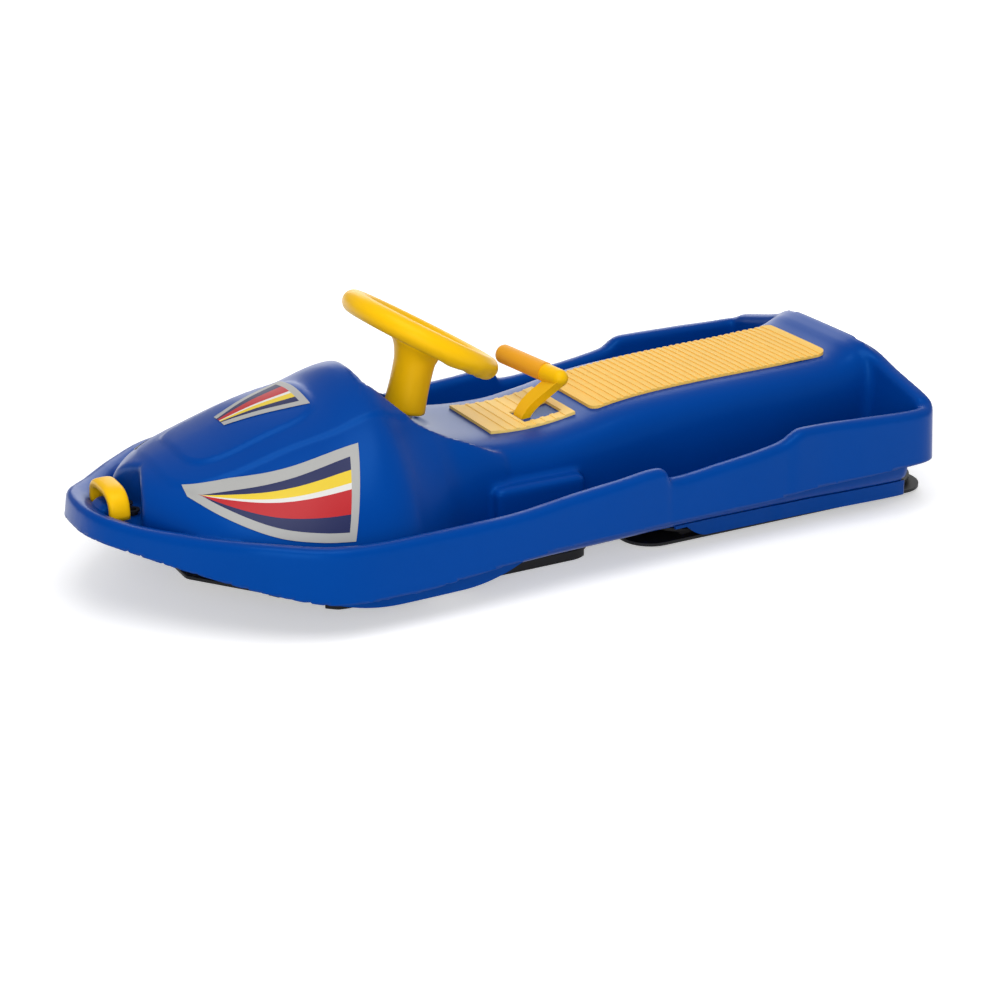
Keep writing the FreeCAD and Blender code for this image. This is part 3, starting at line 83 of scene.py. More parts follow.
def soft_max(a: np.ndarray, b: np.ndarray, blend: float) -> np.ndarray:
    """Field of what two solids share, with a rounded edge (see soft_min)."""
    return -soft_min(-a, -b, blend)


def smooth_line(knots: np.ndarray, values: np.ndarray, at: np.ndarray) -> np.ndarray:
    """Curve through values with slopes that never overshoot.

    Args:
        knots: Rising places of the values.
        values: Values at the knots.
        at: Places to read.

    Returns:
        The curve's values at those places.
    """
    gaps = np.diff(knots)
    rises = np.diff(values) / gaps
    slopes = np.concatenate((rises[:1], (rises[1:] + rises[:-1]) / 2, rises[-1:]))
    flat = rises[1:] * rises[:-1] <= 0
    slopes[1:-1][flat] = 0.0
    limit = 3.0 * np.minimum(np.abs(rises[1:]), np.abs(rises[:-1]))
    slopes[1:-1] = np.clip(slopes[1:-1], -limit, limit)
    span = np.clip(np.searchsorted(knots, at) - 1, 0, len(gaps) - 1)
    gap = gaps[span]
    t = np.clip((at - knots[span]) / gap, 0.0, 1.0)
    near, far = values[span], values[span + 1]
    return (near * (1 + 2 * t) * (1 - t) ** 2 + far * t * t * (3 - 2 * t)
            + gap * slopes[span] * t * (1 - t) ** 2 - gap * slopes[span + 1] * t * t * (1 - t))


def field_slope(solid: Solid, points: np.ndarray, reach: float) -> np.ndarray:
    """Gradient of a field.

    Args:
        solid: The field.
        points: Points to read, one per row.
        reach: Distance to either side over which it is measured.

    Returns:
        Gradients, one per row.
    """
    parts = []
    for shift in np.eye(3) * reach:
        parts.append((solid(points + shift) - solid(points - shift)) / (2 * reach))
    return np.column_stack(parts)


def column_frame(points: np.ndarray) -> tuple[np.ndarray, np.ndarray]:
    """Places of points in the frame of the leaning steering column.

    Args:
        points: Points, one per row.

    Returns:
        Distances along the column's axis and away from it.
    """
    away = points - COLUMN_FOOT
    along = away[:, 2] * math.cos(COLUMN_LEAN) - away[:, 0] * math.sin(COLUMN_LEAN)
    ahead = away[:, 0] * math.cos(COLUMN_LEAN) + away[:, 2] * math.sin(COLUMN_LEAN)
    return along, np.hypot(ahead, away[:, 1])


def block(points: np.ndarray, low: Sequence[float], high: Sequence[float]) -> np.ndarray:
    """Distances of points outside a box along each axis.

    Args:
        points: Points, one per row.
        low: Lower corner of the box.
        high: Upper corner of the box.

    Returns:
        Distances, one row per point, negative between the box's faces.
    """
    first, last = np.array(low), np.array(high)
    return np.abs(points - (first + last) / 2) - (last - first) / 2


@dataclass
class Skin:
    """Mesh over the surface of a solid given by a field, as even quads."""

    solid: Solid
    low: Point
    high: Point
    step: float
    settle: int = 3
    reach_share: float = 0.25
    least_slope: float = 0.05

    def _values(self, axes: list[np.ndarray]) -> np.ndarray:
        """Reads the field at every grid point, a slice at a time.

        Args:
            axes: Places of the grid along each axis.

        Returns:
            The field's values over the grid.
        """
        y, z = np.meshgrid(axes[1], axes[2], indexing="ij")
        slices = []
        for x in axes[0]:
            points = np.column_stack((np.full(y.size, x), y.ravel(), z.ravel()))
            slices.append(self.solid(points).reshape(y.shape))
        return np.array(slices)

    def _crossings(self, values: np.ndarray, cells: np.ndarray) -> np.ndarray:
        """Finds the mean of the places where the surface crosses each cell's edges.

        Args:
            values: The field's values over the grid.
            cells: First corners of the cells, one per row.

        Returns:
            The mean places in cell units.
        """
        at = [values[tuple((cells + corner).T)] for corner in CORNERS]
        total = np.zeros((len(cells), 3))
        count = np.zeros(len(cells))
        for a, b in itertools.combinations(range(len(CORNERS)), 2):
            if np.abs(CORNERS[a] - CORNERS[b]).sum() != 1:
                continue
            cross = (at[a] < 0) != (at[b] < 0)
            share = np.where(cross, at[a] / np.where(cross, at[a] - at[b], 1.0), 0.0)
            place = CORNERS[a] + share[:, None] * (CORNERS[b] - CORNERS[a])
            total += place * cross[:, None]
            count += cross
        return total / count[:, None]

    def mesh(self) -> tuple[np.ndarray, np.ndarray]:
        """Builds the skin.

        Returns:
            Vertices and quads.
        """
        low, high = np.array(self.low), np.array(self.high)
        axes = [np.arange(low[i], high[i] + self.step, self.step) for i in range(3)]
        values = self._values(axes)
        inside = values < 0
        shape = np.array(inside.shape) - 1
        count = np.zeros(shape, dtype=int)
        for i, j, k in CORNERS:
            count += inside[i:i + shape[0], j:j + shape[1], k:k + shape[2]]
        cells = np.argwhere((count > 0) & (count < len(CORNERS)))
        number = np.full(shape, -1)
        number[tuple(cells.T)] = np.arange(len(cells))
        vertices = low + (cells + self._crossings(values, cells)) * self.step
        quads = []
        for axis in range(3):
            ahead = np.roll(np.arange(3), -axis)
            grid, order = inside.transpose(ahead), number.transpose(ahead)
            change = grid[:-1, 1:-1, 1:-1] != grid[1:, 1:-1, 1:-1]
            i, j, k = np.nonzero(change)
            loop = np.stack((order[i, j, k], order[i, j + 1, k],
                             order[i, j + 1, k + 1], order[i, j, k + 1]), axis=1)
            back = ~grid[i, j + 1, k + 1]
            loop[back] = loop[back][:, ::-1]
            quads.append(loop)
        for _ in range(self.settle):
            slope = field_slope(self.solid, vertices, self.step * self.reach_share)
            size = np.maximum((slope * slope).sum(axis=1), self.least_slope)
            move = -self.solid(vertices)[:, None] * slope / size[:, None]
            vertices = vertices + np.clip(move, -self.step, self.step)
        return vertices, np.concatenate(quads)


def new_piece(name: str, vertices: np.ndarray, faces: Sequence[Sequence[int]],
              smooth: bool = True) -> bpy.types.Object:
    """Adds a mesh object to the scene.

    Args:
        name: Name of the piece.
        vertices: Vertices, one per row.
        faces: Faces as rows of vertex numbers.
        smooth: Whether its faces are shaded smooth.

    Returns:
        The new object.
    """
    mesh = bpy.data.meshes.new(name)
    mesh.from_pydata(vertices.tolist(), [], faces)
    if smooth:
        mesh.shade_smooth()
    mesh.update()
    piece = bpy.data.objects.new(name, mesh)
    bpy.context.collection.objects.link(piece)
    return piece


def math_node(nodes: bpy.types.Nodes, operation: str) -> bpy.types.Node:
    """Adds a math node.

    Args:
        nodes: Nodes of the tree that gets it.
        operation: What it does.

    Returns:
        The new node.
    """
    node = nodes.new("ShaderNodeMath")
    node.operation = operation
    return node


class Grain(Enum):
    """Surface texture of a moulded plastic."""

    FINE = "fine"
    SMOOTH = "smooth"
    COARSE = "coarse"


GRAIN_SCALE = {Grain.FINE: 900.0, Grain.SMOOTH: 260.0, Grain.COARSE: 420.0}
GRAIN_DETAIL = 2.0
GRAIN_DEPTH = 0.0003
CLOUD_SCALE = 7.0
CLOUD_DETAIL = 3.0
CLOUD_RANGE = (0.94, 1.06)
RIB_SHARE = 1.2


@dataclass(frozen=True)
class Plastic:
    """Moulded plastic with a faint grain and handling marks."""

    name: str
    colour: Colour
    roughness: float
    grain: Grain
    bump: float
    specular: float = 0.3
    ribs: float = 0.0
    sheen: Colour = (1.0, 1.0, 1.0)

    def material(self) -> bpy.types.Material:
        """Builds the material with its grain.

        Returns:
            The new material.
        """
        material, shader, marks = marked_material(self.name, self.colour, self.roughness, self.grain)
        nodes, links = material.node_tree.nodes, material.node_tree.links
        shader.inputs["Specular IOR Level"].default_value = self.specular
        shader.inputs["Specular Tint"].default_value = (*self.sheen, 1.0)
        marks.inputs["Ribs per metre"].default_value = self.ribs
        bump = nodes.new("ShaderNodeBump")
        bump.inputs["Strength"].default_value = self.bump
        bump.inputs["Distance"].default_value = GRAIN_DEPTH
        links.new(marks.outputs["Height"], bump.inputs["Height"])
        links.new(bump.outputs["Normal"], shader.inputs["Normal"])
        return material


@dataclass(frozen=True)
class Steel:
    """Zinc-plated steel with a faint mottle."""

    name: str
    colour: Colour
    roughness: float

    def material(self) -> bpy.types.Material:
        """Builds the material.

        Returns:
            The new material.
        """
        material, shader, _ = marked_material(self.name, self.colour, self.roughness, Grain.COARSE)
        shader.inputs["Metallic"].default_value = 1.0
        return material


def marked_material(name: str, colour: Colour, roughness: float,
                    grain: Grain) -> tuple[bpy.types.Material, bpy.types.Node, bpy.types.Node]:
    """Starts a material whose colour and roughness carry faint handling marks.

    Args:
        name: Name of the material.
        colour: Its colour.
        roughness: Its mean roughness.
        grain: Its surface texture.

    Returns:
        The material, its shader and its node of marks.
    """
    material = bpy.data.materials.new(name)
    material.use_nodes = True
    nodes, links = material.node_tree.nodes, material.node_tree.links
    shader = nodes["Principled BSDF"]
    marks = nodes.new("ShaderNodeGroup")
    marks.node_tree = moulded_marks()
    marks.inputs["Colour"].default_value = (*colour, 1.0)
    marks.inputs["Roughness"].default_value = roughness
    marks.inputs["Grain scale"].default_value = GRAIN_SCALE[grain]
    links.new(marks.outputs["Colour"], shader.inputs["Base Color"])
    links.new(marks.outputs["Roughness"], shader.inputs["Roughness"])
    return material, shader, marks


def moulded_marks() -> bpy.types.ShaderNodeTree:
    """Node group that varies a colour and a roughness slightly and makes a grain height.

    Returns:
        The shared group, built on its first use.
    """
    known = bpy.data.node_groups.get("moulded_marks")
    if known:
        return known
    group = bpy.data.node_groups.new("moulded_marks", "ShaderNodeTree")
    face = group.interface
    for label in ("Colour", "Roughness", "Grain scale", "Ribs per metre"):
        kind = "NodeSocketColor" if label == "Colour" else "NodeSocketFloat"
        face.new_socket(label, in_out="INPUT", socket_type=kind)
    for label in ("Colour", "Roughness", "Height"):
        kind = "NodeSocketColor" if label == "Colour" else "NodeSocketFloat"
        face.new_socket(label, in_out="OUTPUT", socket_type=kind)
    nodes, links = group.nodes, group.links
    source, sink = nodes.new("NodeGroupInput"), nodes.new("NodeGroupOutput")
    place = nodes.new("ShaderNodeTexCoord")
    cloud = nodes.new("ShaderNodeTexNoise")
    cloud.inputs["Scale"].default_value = CLOUD_SCALE
    cloud.inputs["Detail"].default_value = CLOUD_DETAIL
    grain = nodes.new("ShaderNodeTexNoise")
    grain.inputs["Detail"].default_value = GRAIN_DETAIL
    tint = nodes.new("ShaderNodeHueSaturation")
    level = nodes.new("ShaderNodeMapRange")
    level.inputs["To Min"].default_value, level.inputs["To Max"].default_value = CLOUD_RANGE
    shine = math_node(nodes, "MULTIPLY")
    links.new(place.outputs["Object"], cloud.inputs["Vector"])
    links.new(place.outputs["Object"], grain.inputs["Vector"])
    links.new(source.outputs["Grain scale"], grain.inputs["Scale"])
    links.new(cloud.outputs["Fac"], level.inputs["Value"])
    links.new(level.outputs["Result"], tint.inputs["Value"])
    links.new(source.outputs["Colour"], tint.inputs["Color"])
    links.new(tint.outputs["Color"], sink.inputs["Colour"])
    links.new(level.outputs["Result"], shine.inputs[0])
    links.new(source.outputs["Roughness"], shine.inputs[1])
    links.new(shine.outputs["Value"], sink.inputs["Roughness"])
    along = nodes.new("ShaderNodeSeparateXYZ")
    turns, phase, wave = (math_node(nodes, operation) for operation in ("MULTIPLY", "MULTIPLY", "SINE"))
    turns.inputs[1].default_value = 2 * math.pi
    height = math_node(nodes, "MULTIPLY_ADD")
    height.inputs[1].default_value = RIB_SHARE
    links.new(place.outputs["Object"], along.inputs["Vector"])
    links.new(source.outputs["Ribs per metre"], turns.inputs[0])
    links.new(along.outputs["X"], phase.inputs[0])
    links.new(turns.outputs["Value"], phase.inputs[1])
    links.new(phase.outputs["Value"], wave.inputs[0])
    links.new(wave.outputs["Value"], height.inputs[0])
    links.new(grain.outputs["Fac"], height.inputs[2])
    links.new(height.outputs["Value"], sink.inputs["Height"])
    return group


BLUE = Plastic("blue_shell", (0.0, 0.052, 0.315), 0.30, Grain.FINE, 0.05, sheen=(0.08, 0.42, 1.0))
YELLOW = Plastic("yellow_moulding", (1.0, 0.56, 0.003), 0.36, Grain.FINE, 0.06, sheen=(1.0, 0.8, 0.25))
TREAD = Plastic("ribbed_tread", (0.97, 0.60, 0.12), 0.55, Grain.COARSE, 0.22, specular=0.25, ribs=300.0)
# cover plate: its yellow is painted paler and brighter than the tread's to make up for the shade on the
# tilted plate, so part of this colour is painted light
LIGHTENED_PLATE = Plastic("cover_plate_painted_light", (1.0, 0.70, 0.20), 0.5, Grain.COARSE, 0.2, specular=0.25)
GRIP = Plastic("lever_grip", (0.90, 0.40, 0.012), 0.5, Grain.COARSE, 0.15)
BLACK = Plastic("black_ski", (0.010, 0.010, 0.012), 0.5, Grain.COARSE, 0.2)
BUSH = Plastic("natural_bush", (0.72, 0.71, 0.66), 0.5, Grain.SMOOTH, 0.05)
ZINC = Steel("zinc_steel", (0.55, 0.56, 0.58), 0.42)
BORDER = Plastic("print_border", (0.42, 0.42, 0.41), 0.45, Grain.COARSE, 0.3)
NAVY = Plastic("print_navy", (0.012, 0.018, 0.09), 0.45, Grain.SMOOTH, 0.05)
RED = Plastic("print_red", (0.50, 0.012, 0.018), 0.45, Grain.SMOOTH, 0.05)
PALE = Plastic("print_pale", (0.74, 0.73, 0.70), 0.45, Grain.SMOOTH, 0.05)
AMBER = Plastic("print_amber", (0.80, 0.58, 0.03), 0.45, Grain.SMOOTH, 0.05)


@dataclass
class Hull:
    """Plan outline of the shell with the heights of its rim, skirt and valley."""

    half_length: float = 0.555
    half_width: float = 0.243
    rim_height: float = 0.142
    skirt_height: float = 0.062
    floor_top: float = 0.034
    step: float = 0.002
    line_points: int = 900
    plan_low: tuple[float, float] = (-0.57, 0.0)
    plan_high: tuple[float, float] = (0.61, 0.29)
    mirrored: int = 3
    # place along and across as shares of half_length and half_width, then shares of the heights
    station_shares: tuple[tuple[float, ...], ...] = (
        (1.000, 0.000, 0.945, 1.694, 3.18), (0.987, 0.185, 0.930, 1.645, 3.12),
        (0.919, 0.403, 0.868, 1.484, 2.83), (0.825, 0.638, 0.838, 1.258, 2.42),
        (0.721, 0.835, 0.824, 1.000, 1.88), (0.595, 0.971, 0.782, 0.735, 1.18),
        (0.450, 1.000, 0.761, 0.690, 0.76), (0.204, 0.984, 0.761, 0.830, 0.76),
        (0.000, 0.959, 0.824, 0.905, 0.76), (-0.108, 0.951, 0.859, 0.900, 0.76),
        (-0.187, 0.942, 0.887, 0.890, 0.76), (-0.209, 0.940, 0.873, 0.890, 0.76),
        (-0.223, 0.938, 0.782, 0.890, 0.76), (-0.245, 0.938, 0.771, 0.890, 0.76),
        (-0.360, 0.934, 0.810, 0.890, 0.76), (-0.495, 0.938, 0.880, 0.930, 0.76),
        (-0.526, 0.938, 0.908, 0.945, 0.76), (-0.562, 0.942, 0.986, 0.980, 0.76),
        (-0.595, 0.942, 1.000, 1.000, 0.76), (-0.757, 0.959, 0.986, 1.050, 0.76),
        (-0.870, 0.967, 0.972, 1.100, 0.76), (-0.930, 0.945, 0.979, 1.120, 0.76),
        (-0.953, 0.870, 1.030, 1.130, 0.76), (-0.956, 0.740, 1.090, 1.130, 0.76),
        (-0.956, 0.564, 1.170, 1.130, 0.76), (-0.956, 0.391, 1.260, 1.130, 0.76),
        (-0.956, 0.206, 1.285, 1.130, 0.76), (-0.956, 0.000, 1.290, 1.130, 0.76))

    def __post_init__(self) -> None:
        rows = np.array(self.station_shares)
        plan = rows[:, :2] * (self.half_length, self.half_width)
        heights = rows[:, 2:] * (self.rim_height, self.skirt_height, self.floor_top)
        flip, extra = np.array((1.0, -1.0)), self.mirrored
        long_plan = np.concatenate((plan[extra:0:-1] * flip, plan, plan[-2:-2 - extra:-1] * flip))
        run = np.concatenate(([0.0], np.cumsum(np.linalg.norm(np.diff(long_plan, axis=0), axis=1))))
        at = np.linspace(run[extra], run[-1 - extra], self.line_points)
        self.line = np.column_stack([smooth_line(run, long_plan[:, i], at) for i in (0, 1)])
        self.levels = np.column_stack([smooth_line(run[extra:-extra], heights[:, i], at) for i in range(3)])
        along = np.gradient(self.line, axis=0)
        along /= np.linalg.norm(along, axis=1)[:, None]
        self.inward = np.column_stack((-along[:, 1], along[:, 0]))
        if self.inward[0, 0] > 0:
            self.inward = -self.inward
        self.table = self._tabulate()

    def _tabulate(self) -> np.ndarray:
        """Measures the outline over a plan grid of the left half.

        Returns:
            Distance inside the outline, rim, skirt and valley heights by place along and across.
        """
        xs = np.arange(self.plan_low[0], self.plan_high[0], self.step)
        ys = np.arange(self.plan_low[1], self.plan_high[1], self.step)
        table = np.zeros((len(xs), len(ys), 4))
        for i, x in enumerate(xs):
            points = np.column_stack((np.full(len(ys), x), ys))
            away = points[:, None, :] - self.line[None]
            near = np.argmin((away ** 2).sum(axis=2), axis=1)
            picked = away[np.arange(len(ys)), near]
            depth = (picked * self.inward[near]).sum(axis=1)
            side = np.linalg.norm(picked, axis=1)
            table[i, :, 0] = np.where(side > self.step, np.sign(depth) * side, depth)
            table[i, :, 1:] = self.levels[near]
        return table

    def look(self, x: np.ndarray, y: np.ndarray) -> np.ndarray:
        """Reads the plan grid.

        Args:
            x: Places along the sled.
            y: Places across the sled.

        Returns:
            Rows of distance inside the outline, rim, skirt and valley heights.
        """
        u = np.clip((x - self.plan_low[0]) / self.step, 0, self.table.shape[0] - 1.001)
        v = np.clip(np.abs(y) / self.step, 0, self.table.shape[1] - 1.001)
        i, j = u.astype(int), v.astype(int)
        s, t = (u - i)[:, None], (v - j)[:, None]
        table = self.table
        return ((table[i, j] * (1 - s) + table[i + 1, j] * s) * (1 - t)
                + (table[i, j + 1] * (1 - s) + table[i + 1, j + 1] * s) * t)


@dataclass
class Shell:
    """One-piece blue moulding: skirt, rim, foot trays, seat ridge, hood and nose pocket."""

    hull: Hull = field(default_factory=Hull)
    wall: float = 0.004
    rim_width: float = 0.020
    rim_round: float = 0.010
    tray_inset: float = 0.032
    tray_reach: float = 1.3
    flare: float = 0.004
    flare_reach: float = 1.6
    ridge_half: float = 0.112
    ridge_top: float = 0.170
    ridge_power: float = 6.0
    hood_half: float = 0.212
    hood_top: float = 0.250
    cockpit_front: float = 0.204
    cockpit_half: float = 0.100
    cockpit_round: float = 0.008
    ledge_low: Point = (-0.060, 0.090, 0.020)
    ledge_high: Point = (0.065, 0.132, 0.098)
    ledge_round: float = 0.010
    ledge_fillet: float = 0.007
    fillet: float = 0.014
    step: float = 0.004
    skin_low: Point = (-0.540, -0.262, 0.014)
    skin_high: Point = (0.580, 0.262, 0.266)
    merge: float = 0.0016
    sliver: float = 0.0002
    ridge_shares: tuple[tuple[float, float], ...] = (
        (-0.922, 1.118), (-0.890, 1.098), (-0.861, 1.056), (-0.829, 1.026), (-0.645, 1.000),
        (-0.477, 0.988), (-0.315, 0.959), (-0.232, 0.924), (-0.157, 0.876), (-0.036, 0.829),
        (0.061, 0.841), (0.162, 0.894), (0.234, 0.971), (0.360, 1.147), (0.415, 1.235))
    # place, half width, spring line, crest, power
    hood_shares: tuple[tuple[float, ...], ...] = (
        (0.0685, 0.528, 0.136, 0.572, 6.0), (0.191, 0.613, 0.136, 0.768, 2.7),
        (0.252, 0.731, 0.136, 0.852, 2.0), (0.324, 0.896, 0.136, 0.950, 1.65),
        (0.368, 0.967, 0.136, 0.975, 1.7), (0.469, 1.000, 0.144, 0.898, 1.8),
        (0.595, 0.967, 0.240, 0.832, 1.75), (0.708, 0.850, 0.340, 0.750, 1.7),
        (0.805, 0.640, 0.400, 0.684, 1.7), (0.851, 0.440, 0.425, 0.650, 1.8),
        (0.890, 0.250, 0.435, 0.610, 1.9))
    crest_round: float = 0.006
    hood_nose: float = 0.472
    hood_nose_slant: float = 0.35
    hood_nose_round: float = 0.006
    hood_back_round: float = 0.008
    hood_fillet: float = 0.006
    # front, rear, half width and rise of the hood's stepped panels
    panels: tuple[tuple[float, ...], ...] = ((0.462, 0.130, 0.096, 0.0022), (0.432, 0.264, 0.066, 0.0026))
    panel_power: float = 4.0
    panel_edge: float = 0.005
    saddle_low: tuple[float, float] = (0.499, -0.019)
    saddle_high: tuple[float, float] = (0.527, 0.019)
    saddle_top: float = 0.127
    saddle_corner: float = 0.010
    saddle_edge: float = 0.008
    saddle_fillet: float = 0.006
    lip_fall: float = 0.35
    lip_start: float = 0.47
    lip_run: float = 0.06
    lip_width: float = 0.03
    recess_radius: float = 0.032
    recess_floor: float = 0.165
    recess_round: float = 0.003
    cockpit_shares: tuple[tuple[float, float], ...] = (
        (1.000, 0.000), (0.980, 0.450), (0.882, 0.650), (0.794, 0.770), (0.686, 0.850),
        (0.520, 0.900), (0.397, 0.950), (0.186, 1.000), (-0.100, 1.000))

    def _arch(self, p: np.ndarray, half: np.ndarray, spring: np.ndarray, crest: np.ndarray,
              power: np.ndarray) -> np.ndarray:
        """Field of an arch across the sled over upright walls.

        Args:
            p: Points, one per row.
            half: Half width of the arch at each point.
            spring: Height at which the walls turn into the arch.
            crest: Height of the arch.
            power: How square the arch is, 2 for an ellipse.

        Returns:
            The field's values.
        """
        rise = np.maximum(p[:, 2] - spring, 0.0) / (crest - spring)
        side = np.sqrt(p[:, 1] * p[:, 1] + self.crest_round ** 2) / half
        reach = (side ** power + rise ** power) ** (1.0 / power)
        return (reach - 1.0) * np.minimum(half, crest - spring)

    def ridge(self, p: np.ndarray) -> np.ndarray:
        """Field of the seat ridge.

        Args:
            p: Points, one per row.

        Returns:
            The field's values.
        """
        rows = np.array(self.ridge_shares) * (self.hull.half_length, self.ridge_top)
        top = smooth_line(rows[:, 0], rows[:, 1], p[:, 0])
        arch = self._arch(p, self.ridge_half, self.hull.floor_top, top, self.ridge_power)
        return np.maximum(arch, np.maximum(rows[0, 0] - p[:, 0], p[:, 0] - rows[-1, 0]))

    def hood(self, p: np.ndarray) -> np.ndarray:
        """Field of the hood before the cockpit is cut from it.

        Args:
            p: Points, one per row.

        Returns:
            The field's values.
        """
        rows = np.array(self.hood_shares)
        x = rows[:, 0] * self.hull.half_length
        scales = (self.hood_half, self.hood_top, self.hood_top, 1.0)
        curves = (smooth_line(x, rows[:, i + 1] * scale, p[:, 0]) for i, scale in enumerate(scales))
        arch = self._arch(p, *curves)
        power = self.panel_power
        for front, rear, wide, rise in self.panels:
            middle, reach = (front + rear) / 2, (front - rear) / 2
            along, across = np.abs(p[:, 0] - middle) / reach, np.abs(p[:, 1]) / wide
            edge = (1.0 - (along ** power + across ** power) ** (1 / power)) * wide
            share = np.clip(0.5 + edge / self.panel_edge, 0.0, 1.0)
            arch = arch - rise * share * share * (3 - 2 * share)
        nose = p[:, 0] - self.hood_nose - self.hood_nose_slant * np.abs(p[:, 1])
        return soft_max(soft_max(arch, x[0] - p[:, 0], self.hood_back_round), nose, self.hood_nose_round)

    def cockpit(self, p: np.ndarray) -> np.ndarray:
        """Field of the space over the cockpit, open to the seat.

        Args:
            p: Points, one per row.

        Returns:
            The field's values.
        """
        rows = np.array(self.cockpit_shares)[::-1] * (self.cockpit_front, self.cockpit_half)
        half = np.interp(p[:, 0], rows[:, 0], rows[:, 1], right=0.0)
        front = np.interp(np.abs(p[:, 1]), rows[::-1, 1], rows[::-1, 0])
        across = np.abs(p[:, 1]) - half
        ahead = p[:, 0] - front
        both = across * ahead / (np.hypot(across, ahead) + 1e-9) * np.sign(across)
        beside = np.where(across * ahead > 0, both, np.maximum(across, ahead))
        return np.where(p[:, 0] > self.cockpit_front, ahead, beside)

    def saddle(self, p: np.ndarray) -> np.ndarray:
        """Field of the block under the tow handle."""
        along, across = block(p[:, :2], self.saddle_low, self.saddle_high).T
        return soft_max(soft_max(along, across, self.saddle_corner),
                        p[:, 2] - self.saddle_top, self.saddle_edge)

    def recess(self, p: np.ndarray) -> np.ndarray:
        """Field of the round recess that the column stands in."""
        along, side = column_frame(p)
        return soft_max(side - self.recess_radius, self.recess_floor - along, self.recess_round)

    def ledge(self, p: np.ndarray) -> np.ndarray:
        """Field of the heel ledges on the ridge walls."""
        along, across, up = block(np.column_stack((p[:, 0], np.abs(p[:, 1]), p[:, 2])),
                                  self.ledge_low, self.ledge_high).T
        return soft_max(soft_max(along, across, self.ledge_round), up, self.ledge_round)

    def solid(self, p: np.ndarray) -> np.ndarray:
        """Field of the whole moulding, filled below.

        Args:
            p: Points, one per row.

        Returns:
            The field's values.
        """
        inside, rim, skirt, valley = self.hull.look(p[:, 0], p[:, 1]).T
        z = p[:, 2]
        drop = np.clip((rim - z) / (rim - valley), 0.0, self.tray_reach)
        out = -self.flare * np.clip((rim - z) / (rim - skirt), 0.0, self.flare_reach) - inside
        tray = inside - self.rim_width - (self.tray_inset - self.rim_width) * drop
        nose = np.clip((p[:, 0] - self.lip_start) / self.lip_run, 0.0, 1.0)
        lip = rim - self.lip_fall * nose * np.clip(inside, 0.0, self.lip_width)
        ring = soft_max(tray, z - lip, self.rim_round)
        level = np.maximum(self.hull.floor_top, valley)
        body = soft_max(soft_min(ring, z - level, self.fillet), out, self.rim_round)
        body = soft_min(body, self.ridge(p), self.fillet)
        body = soft_min(body, self.ledge(p), self.ledge_fillet)
        hood = soft_max(self.hood(p), -self.cockpit(p), self.cockpit_round)
        body = soft_min(body, np.maximum(hood, out), self.hood_fillet)
        body = soft_min(body, self.saddle(p), self.saddle_fillet)
        return soft_max(body, -self.recess(p), self.recess_round)

    def build(self) -> bpy.types.Object:
        """Builds the moulding as a sheet with an open underside.

        Returns:
            The finished piece.
        """
        vertices, quads = Skin(self.solid, self.skin_low, self.skin_high, self.step).mesh()
        inside, _, skirt, _ = self.hull.look(vertices[:, 0], vertices[:, 1]).T
        below = (vertices[:, 2] < skirt) & (inside < self.wall * 2)
        quads = quads[~below[quads].all(axis=1)]
        vertices[below, 2] = skirt[below]
        used = np.unique(quads)
        order = np.full(len(vertices), -1)
        order[used] = np.arange(len(used))
        piece = new_piece("shell", vertices[used], order[quads].tolist())
        tidy = bmesh.new()
        tidy.from_mesh(piece.data)
        bmesh.ops.remove_doubles(tidy, verts=tidy.verts, dist=self.merge)
        bmesh.ops.dissolve_degenerate(tidy, edges=tidy.edges, dist=self.sliver)
        tidy.to_mesh(piece.data)
        tidy.free()
        piece.data.shade_smooth()
        sheet = piece.modifiers.new("sheet", "SOLIDIFY")
        sheet.thickness = self.wall
        sheet.offset = -1.0
        piece.data.materials.append(BLUE.material())
        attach(piece, "body")
        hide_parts("body_shell")
        return piece


@dataclass
class Keels:
    """Blue walls under the floor, set in from the skirt."""

    hull: Hull
    wall: float = 0.004
    rise_to: float = 0.054
    # inset, rear end, front end, start of the front rise, length of the rear rise, lower edge, upper edge
    strips: tuple[tuple[float, ...], ...] = (
        (0.020, 0.050, 0.365, 0.240, 0.110, 0.022, 0.064),
        (0.030, -0.522, -0.150, -0.200, 0.004, 0.014, 0.034))

    def build(self) -> list[bpy.types.Object]:
        """Builds the walls on both sides.

        Returns:
            The finished pieces.
        """
        material = BLUE.material()
        line = self.hull.line
        pieces = []
        for number, (inset, low_x, high_x, rise, tail, low, high) in enumerate(self.strips):
            keep = (line[:, 0] > low_x) & (line[:, 0] < high_x)
            outer = (line + self.hull.inward * inset)[keep]
            inner = (line + self.hull.inward * (inset + self.wall))[keep]
            share = np.clip((outer[:, 0] - rise) / (high_x - rise), 0.0, 1.0)
            share = np.maximum(share, np.clip((low_x + tail - outer[:, 0]) / tail, 0.0, 1.0))
            foot = np.minimum(low + (self.rise_to - low) * share * share, high - self.wall)
            top = np.full(len(outer), high)
            edges = ((outer, foot), (outer, top), (inner, top), (inner, foot))
            rings = np.array([np.column_stack(edge) for edge in edges])
            for name, side in (("left", 1.0), ("right", -1.0)):
                pieces.append(self._strip(f"keel_{number}_{name}", rings * (1.0, side, 1.0), material))
        return pieces

    def _strip(self, name: str, rings: np.ndarray, material: bpy.types.Material) -> bpy.types.Object:
        """Builds one wall.

        Args:
            name: Name of the piece.
            rings: Its four long edges, in order round the wall.
            material: Its material.

        Returns:
            The finished piece.
        """
        edges, count = rings.shape[:2]
        faces = []
        for r in range(edges):
            here, there = r * count, (r + 1) % edges * count
            faces += [(here + i, here + i + 1, there + i + 1, there + i) for i in range(count - 1)]
        faces += [tuple(r * count + end for r in range(edges)) for end in (0, count - 1)]
        piece = new_piece(name, rings.reshape(-1, 3), faces, smooth=False)
        piece.data.materials.append(material)
        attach(piece, "body")
        return piece


